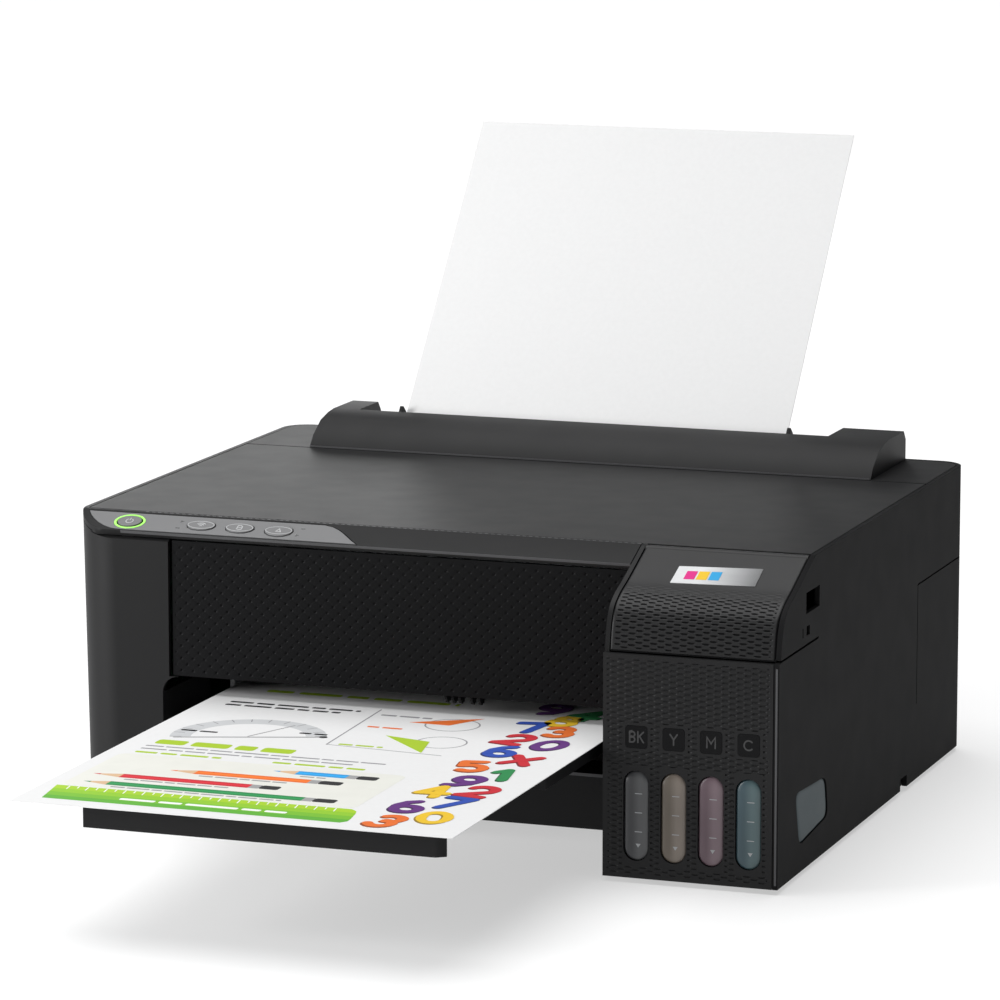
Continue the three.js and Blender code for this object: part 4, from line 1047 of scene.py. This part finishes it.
def printed_text():
    """Rows of word-like bars in place of the sheet's text."""
    art = Print("print_text")
    art.words("lime", 13, 56, 110, 3, (11, 8, 14))
    art.words("lime", 81.6, 127, 110, 3, (9, 15, 7))
    art.words("grey", 12.5, 132, 123.5, 1.9, (9, 14, 6, 11, 17))
    art.words("grey", 12.5, 118, 117.5, 1.9, (13, 7, 10, 16, 5))
    for u0, u1 in ((14, 29), (32, 51), (54, 64), (67, 83)):
        art.bar("lime", u0, u1, 133, 9, 1, 2)
    art.words("dark", 14.7, 34, 160, 2.6, (8, 9))
    art.words("dark", 70, 84, 172, 2.6, (6, 7))
    art.words("dark", 12.6, 80, 226, 3, (12, 9, 16, 7))
    art.words("dark", 12.6, 72, 219.5, 3, (8, 14, 10, 6))
    art.words("grey", 92, 118, 222, 2.6, (8, 10))
    art.words("orange", 95, 113, 196, 2.6, (6, 10))
    art.words("lime", 96, 118, 156, 2.6, (7, 9))
    art.words("lime", 20, 120, 255, 5, (14, 22, 11))
    art.finish()


def printed_drawings():
    """A protractor, dividing lines, and triangles with their circles."""
    art = Print("print_drawings")
    centre, base_start, base_end = (50, 157), (18, 144), (84, 167)
    rise, run = base_end[1] - base_start[1], base_end[0] - base_start[0]
    tilt = math.degrees(math.atan2(rise, run))
    outer = arc(centre, 37, tilt, tilt + 180, 28)
    inner = arc(centre, 27, tilt + 180, tilt, 28)
    art.add("pale", outer + inner)
    for angle in range(0, 181, 15):
        ray = math.radians(tilt + angle)
        outward = Vector((math.cos(ray), math.sin(ray)))
        art.line("grey", [Vector(centre) + outward * r for r in (31.5, 36.6)], 0.6, 2)
    art.line("grey", [base_start, base_end], 1.6, 2)
    art.line("grey", [centre, (62, 186)], 0.8, 2)
    art.add("dark", ellipse(base_end, 2, 2, 20), 3)
    art.line("grey", [(87.9, 233), (90.9, 153.5)], 0.8)
    art.line("grey", [(90.9, 153.5), (149.4, 148.9)], 0.8)
    for colour, corners, middle, radius in (
        ("orange", [(110.5, 211.2), (141.6, 230), (130.6, 210.8)], (132, 212), 13),
        ("lime", [(110, 180.7), (134.4, 174.6), (138.8, 151.4)], (140, 175), 12),
    ):
        art.add(colour, corners, 2)
        rim = [ellipse(middle, r, r, 40) for r in (radius + 0.4, radius - 0.4)]
        art.add("grey", rim[0], 1, hole=rim[1])
    art.finish()


def numeral(digit):
    """The strokes of a round-cornered numeral, about 0.6 wide and 1 high."""
    ring = arc((0, 0), 0.26, 0, 360, 28, 1.6)
    low_ring = arc((0, -0.2), 0.25, 0, 360, 24)
    tail = [(-0.25, -0.2), (-0.2, 0.12), (-0.03, 0.35), (0.17, 0.43)]
    return {
        "0": [ring],
        "1": [[(-0.18, 0.24), (0.04, 0.44)], [(0.04, 0.44), (0.04, -0.44)]],
        "2": [
            arc((0, 0.17), 0.25, 165, -35, 12) + [(-0.25, -0.42)],
            [(-0.25, -0.42), (0.28, -0.42)],
        ],
        "3": [arc((-0.02, 0.21), 0.22, 150, -90, 12), arc((-0.02, -0.2), 0.24, 90, -150, 12)],
        "4": [
            [(0.12, -0.44), (0.12, 0.44)],
            [(0.12, 0.44), (-0.27, -0.14)],
            [(-0.27, -0.14), (0.3, -0.14)],
        ],
        "5": [
            [(0.22, 0.42), (-0.18, 0.42)],
            [(-0.18, 0.42), (-0.2, 0.06)],
            [(-0.2, 0.06)] + arc((0, -0.16), 0.26, 110, -140, 14),
        ],
        "6": [low_ring, tail],
        "7": [[(-0.26, 0.42), (0.25, 0.42)], [(0.25, 0.42), (-0.08, -0.44)]],
        "8": [arc((0, 0.22), 0.19, 0, 360, 22), low_ring],
        "9": [[(-a, -b) for a, b in low_ring], [(-a, -b) for a, b in tail]],
        "x": [[(-0.26, 0.36), (0.26, -0.36)], [(0.26, 0.36), (-0.26, -0.36)]],
    }[digit]


# Each printed numeral with its colour and its middle on the sheet, from the front to the back.
NUMERALS = (
    ("3", "orange", 172, 20),
    ("0", "yellow", 189.6, 33),
    ("6", "purple", 171, 49),
    ("7", "blue", 187.5, 62),
    ("4", "yellow", 171.6, 80),
    ("2", "red", 191, 86.6),
    ("9", "purple", 178, 103.5),
    ("1", "green", 190.4, 121),
    ("5", "orange", 170.6, 133),
    ("x", "red", 188, 152),
    ("6", "blue", 173, 167),
    ("0", "purple", 190, 186),
    ("2", "red", 170.7, 193),
    ("3", "orange", 185, 215),
    ("7", "blue", 169.4, 220),
    ("8", "yellow", 179.6, 238),
    ("9", "purple", 166.4, 261),
    ("4", "green", 185.6, 253),
)
TURNS = (-14, 9, 12, -8, 5, -11)


def stroke_shape(line, width):
    """The outline of a stroke, and of the hole in it if the stroke is a closed ring."""
    if math.dist(line[0], line[-1]) > 0.01:
        return ribbon(line, width), None
    ringed = [Vector(p) for p in line[:-1]]
    middle = sum(ringed, Vector((0, 0))) / len(ringed)
    sides = []
    for offset in (width / 2, -width / 2):
        moved = [p + (p - middle).normalized() * offset for p in ringed]
        sides.append([tuple(p) for p in moved])
    return sides


def printed_numerals():
    """A scatter of thick coloured numerals down the sheet's right side, each with a dark side."""
    art = Print("print_numerals")
    high, width = 22.5, 5
    for k, (digit, colour, u, v) in enumerate(NUMERALS):
        turn = math.radians(TURNS[k % len(TURNS)])
        for sink, tone, base in ((1.5, f"{colour}_dark", 2), (0, colour, 5)):
            for depth, stroke in enumerate(numeral(digit)):
                line = []
                for a, b in stroke:
                    right, up = a * high, b * high
                    across = u + right * math.cos(turn) - up * math.sin(turn) - sink * 0.3
                    line.append((across, v + right * math.sin(turn) + up * math.cos(turn) - sink))
                outline, hole = stroke_shape(line, width)
                art.add(tone, outline, base + depth, hole)
    art.finish()


# ---------------------------------------------------------------- studio

FLOOR_HALF = 15
FLOOR_GLOW = 0.5
WORLD_STRENGTH = 0.13
SUN_STRENGTH = 2.9
SUN_ANGLE = 60
SUN_FROM = (-0.5, 0.2, 2.5)
LENS = 189.3
CAMERA_PLACE = (862.3, -2264.4, 599.1)
CAMERA_YAW = -19.7
CAMERA_PITCH = -10


def aim(obj, eye, target):
    """Put a light or the camera at the eye, looking at the target."""
    obj.location = eye
    obj.rotation_euler = (Vector(target) - Vector(eye)).to_track_quat("-Z", "Y").to_euler()


def floor():
    """A plain pale floor that nearly vanishes into the background."""
    mesh = bmesh.new()
    bmesh.ops.create_grid(mesh, x_segments=1, y_segments=1, size=FLOOR_HALF)
    data = bpy.data.meshes.new("floor")
    mesh.to_mesh(data)
    mesh.free()
    finish = dict(grain=0.001, Specular_IOR_Level=0)
    white = surface("white_floor", (0.5, 0.5, 0.5), 0.75, 0.004, 2, **finish)
    data.materials.append(lit(white, (1, 1, 1), FLOOR_GLOW))
    placed("floor", data)


def softbox(name, eye, target, size, power):
    """A rectangular light aimed at the target."""
    light = bpy.data.lights.new(name, "AREA")
    light.shape = "RECTANGLE"
    light.size, light.size_y = size
    light.energy = power
    aim(placed(name, light), eye, target)


def lights():
    """A soft overhead light, one from the front left, and one that the lid reflects."""
    world = bpy.data.worlds.new("studio")
    bpy.context.scene.world = world
    world.use_nodes = True
    background = world.node_tree.nodes["Background"]
    background.inputs["Color"].default_value = (0.95, 0.97, 1, 1)
    background.inputs["Strength"].default_value = WORLD_STRENGTH
    sun = bpy.data.lights.new("overhead", "SUN")
    sun.energy = SUN_STRENGTH
    sun.angle = math.radians(SUN_ANGLE)
    aim(placed("overhead", sun), SUN_FROM, (0, 0, 0))
    softbox("left_front", (-1.5, -1.1, 0.5), (-0.15, -0.05, 0.1), (0.5, 1.1), 38)
    softbox("back_left", (-1.42, 2.2, 0.7), (0, 0.1, 0.14), (1.6, 0.7), 11)


def camera():
    """The photo's view."""
    data = bpy.data.cameras.new("photo_camera")
    data.sensor_width = 36
    data.lens = LENS
    yaw, pitch = math.radians(CAMERA_YAW), math.radians(CAMERA_PITCH)
    level = math.cos(pitch)
    look = Vector((math.sin(yaw) * level, math.cos(yaw) * level, math.sin(pitch)))
    eye = at(*CAMERA_PLACE)
    obj = placed("photo_camera", data)
    aim(obj, eye, eye + look)
    bpy.context.scene.camera = obj


def studio():
    """Camera, floor, lights and a neutral view."""
    camera()
    floor()
    lights()
    bpy.context.scene.view_settings.view_transform = "Standard"


carried_pieces()
left_housing()
right_side_cover()
front_panel()
tank_front()
tank_rim()
tank_cover()
windows()
code_badges()
tank_badge()
side_window()
ring_light()
button_marks()
panel_marks()
crease_dashes()
painted_edge_highlights()
opening_details()
printed_ruler()
printed_pencils()
printed_text()
printed_drawings()
printed_numerals()
studio()
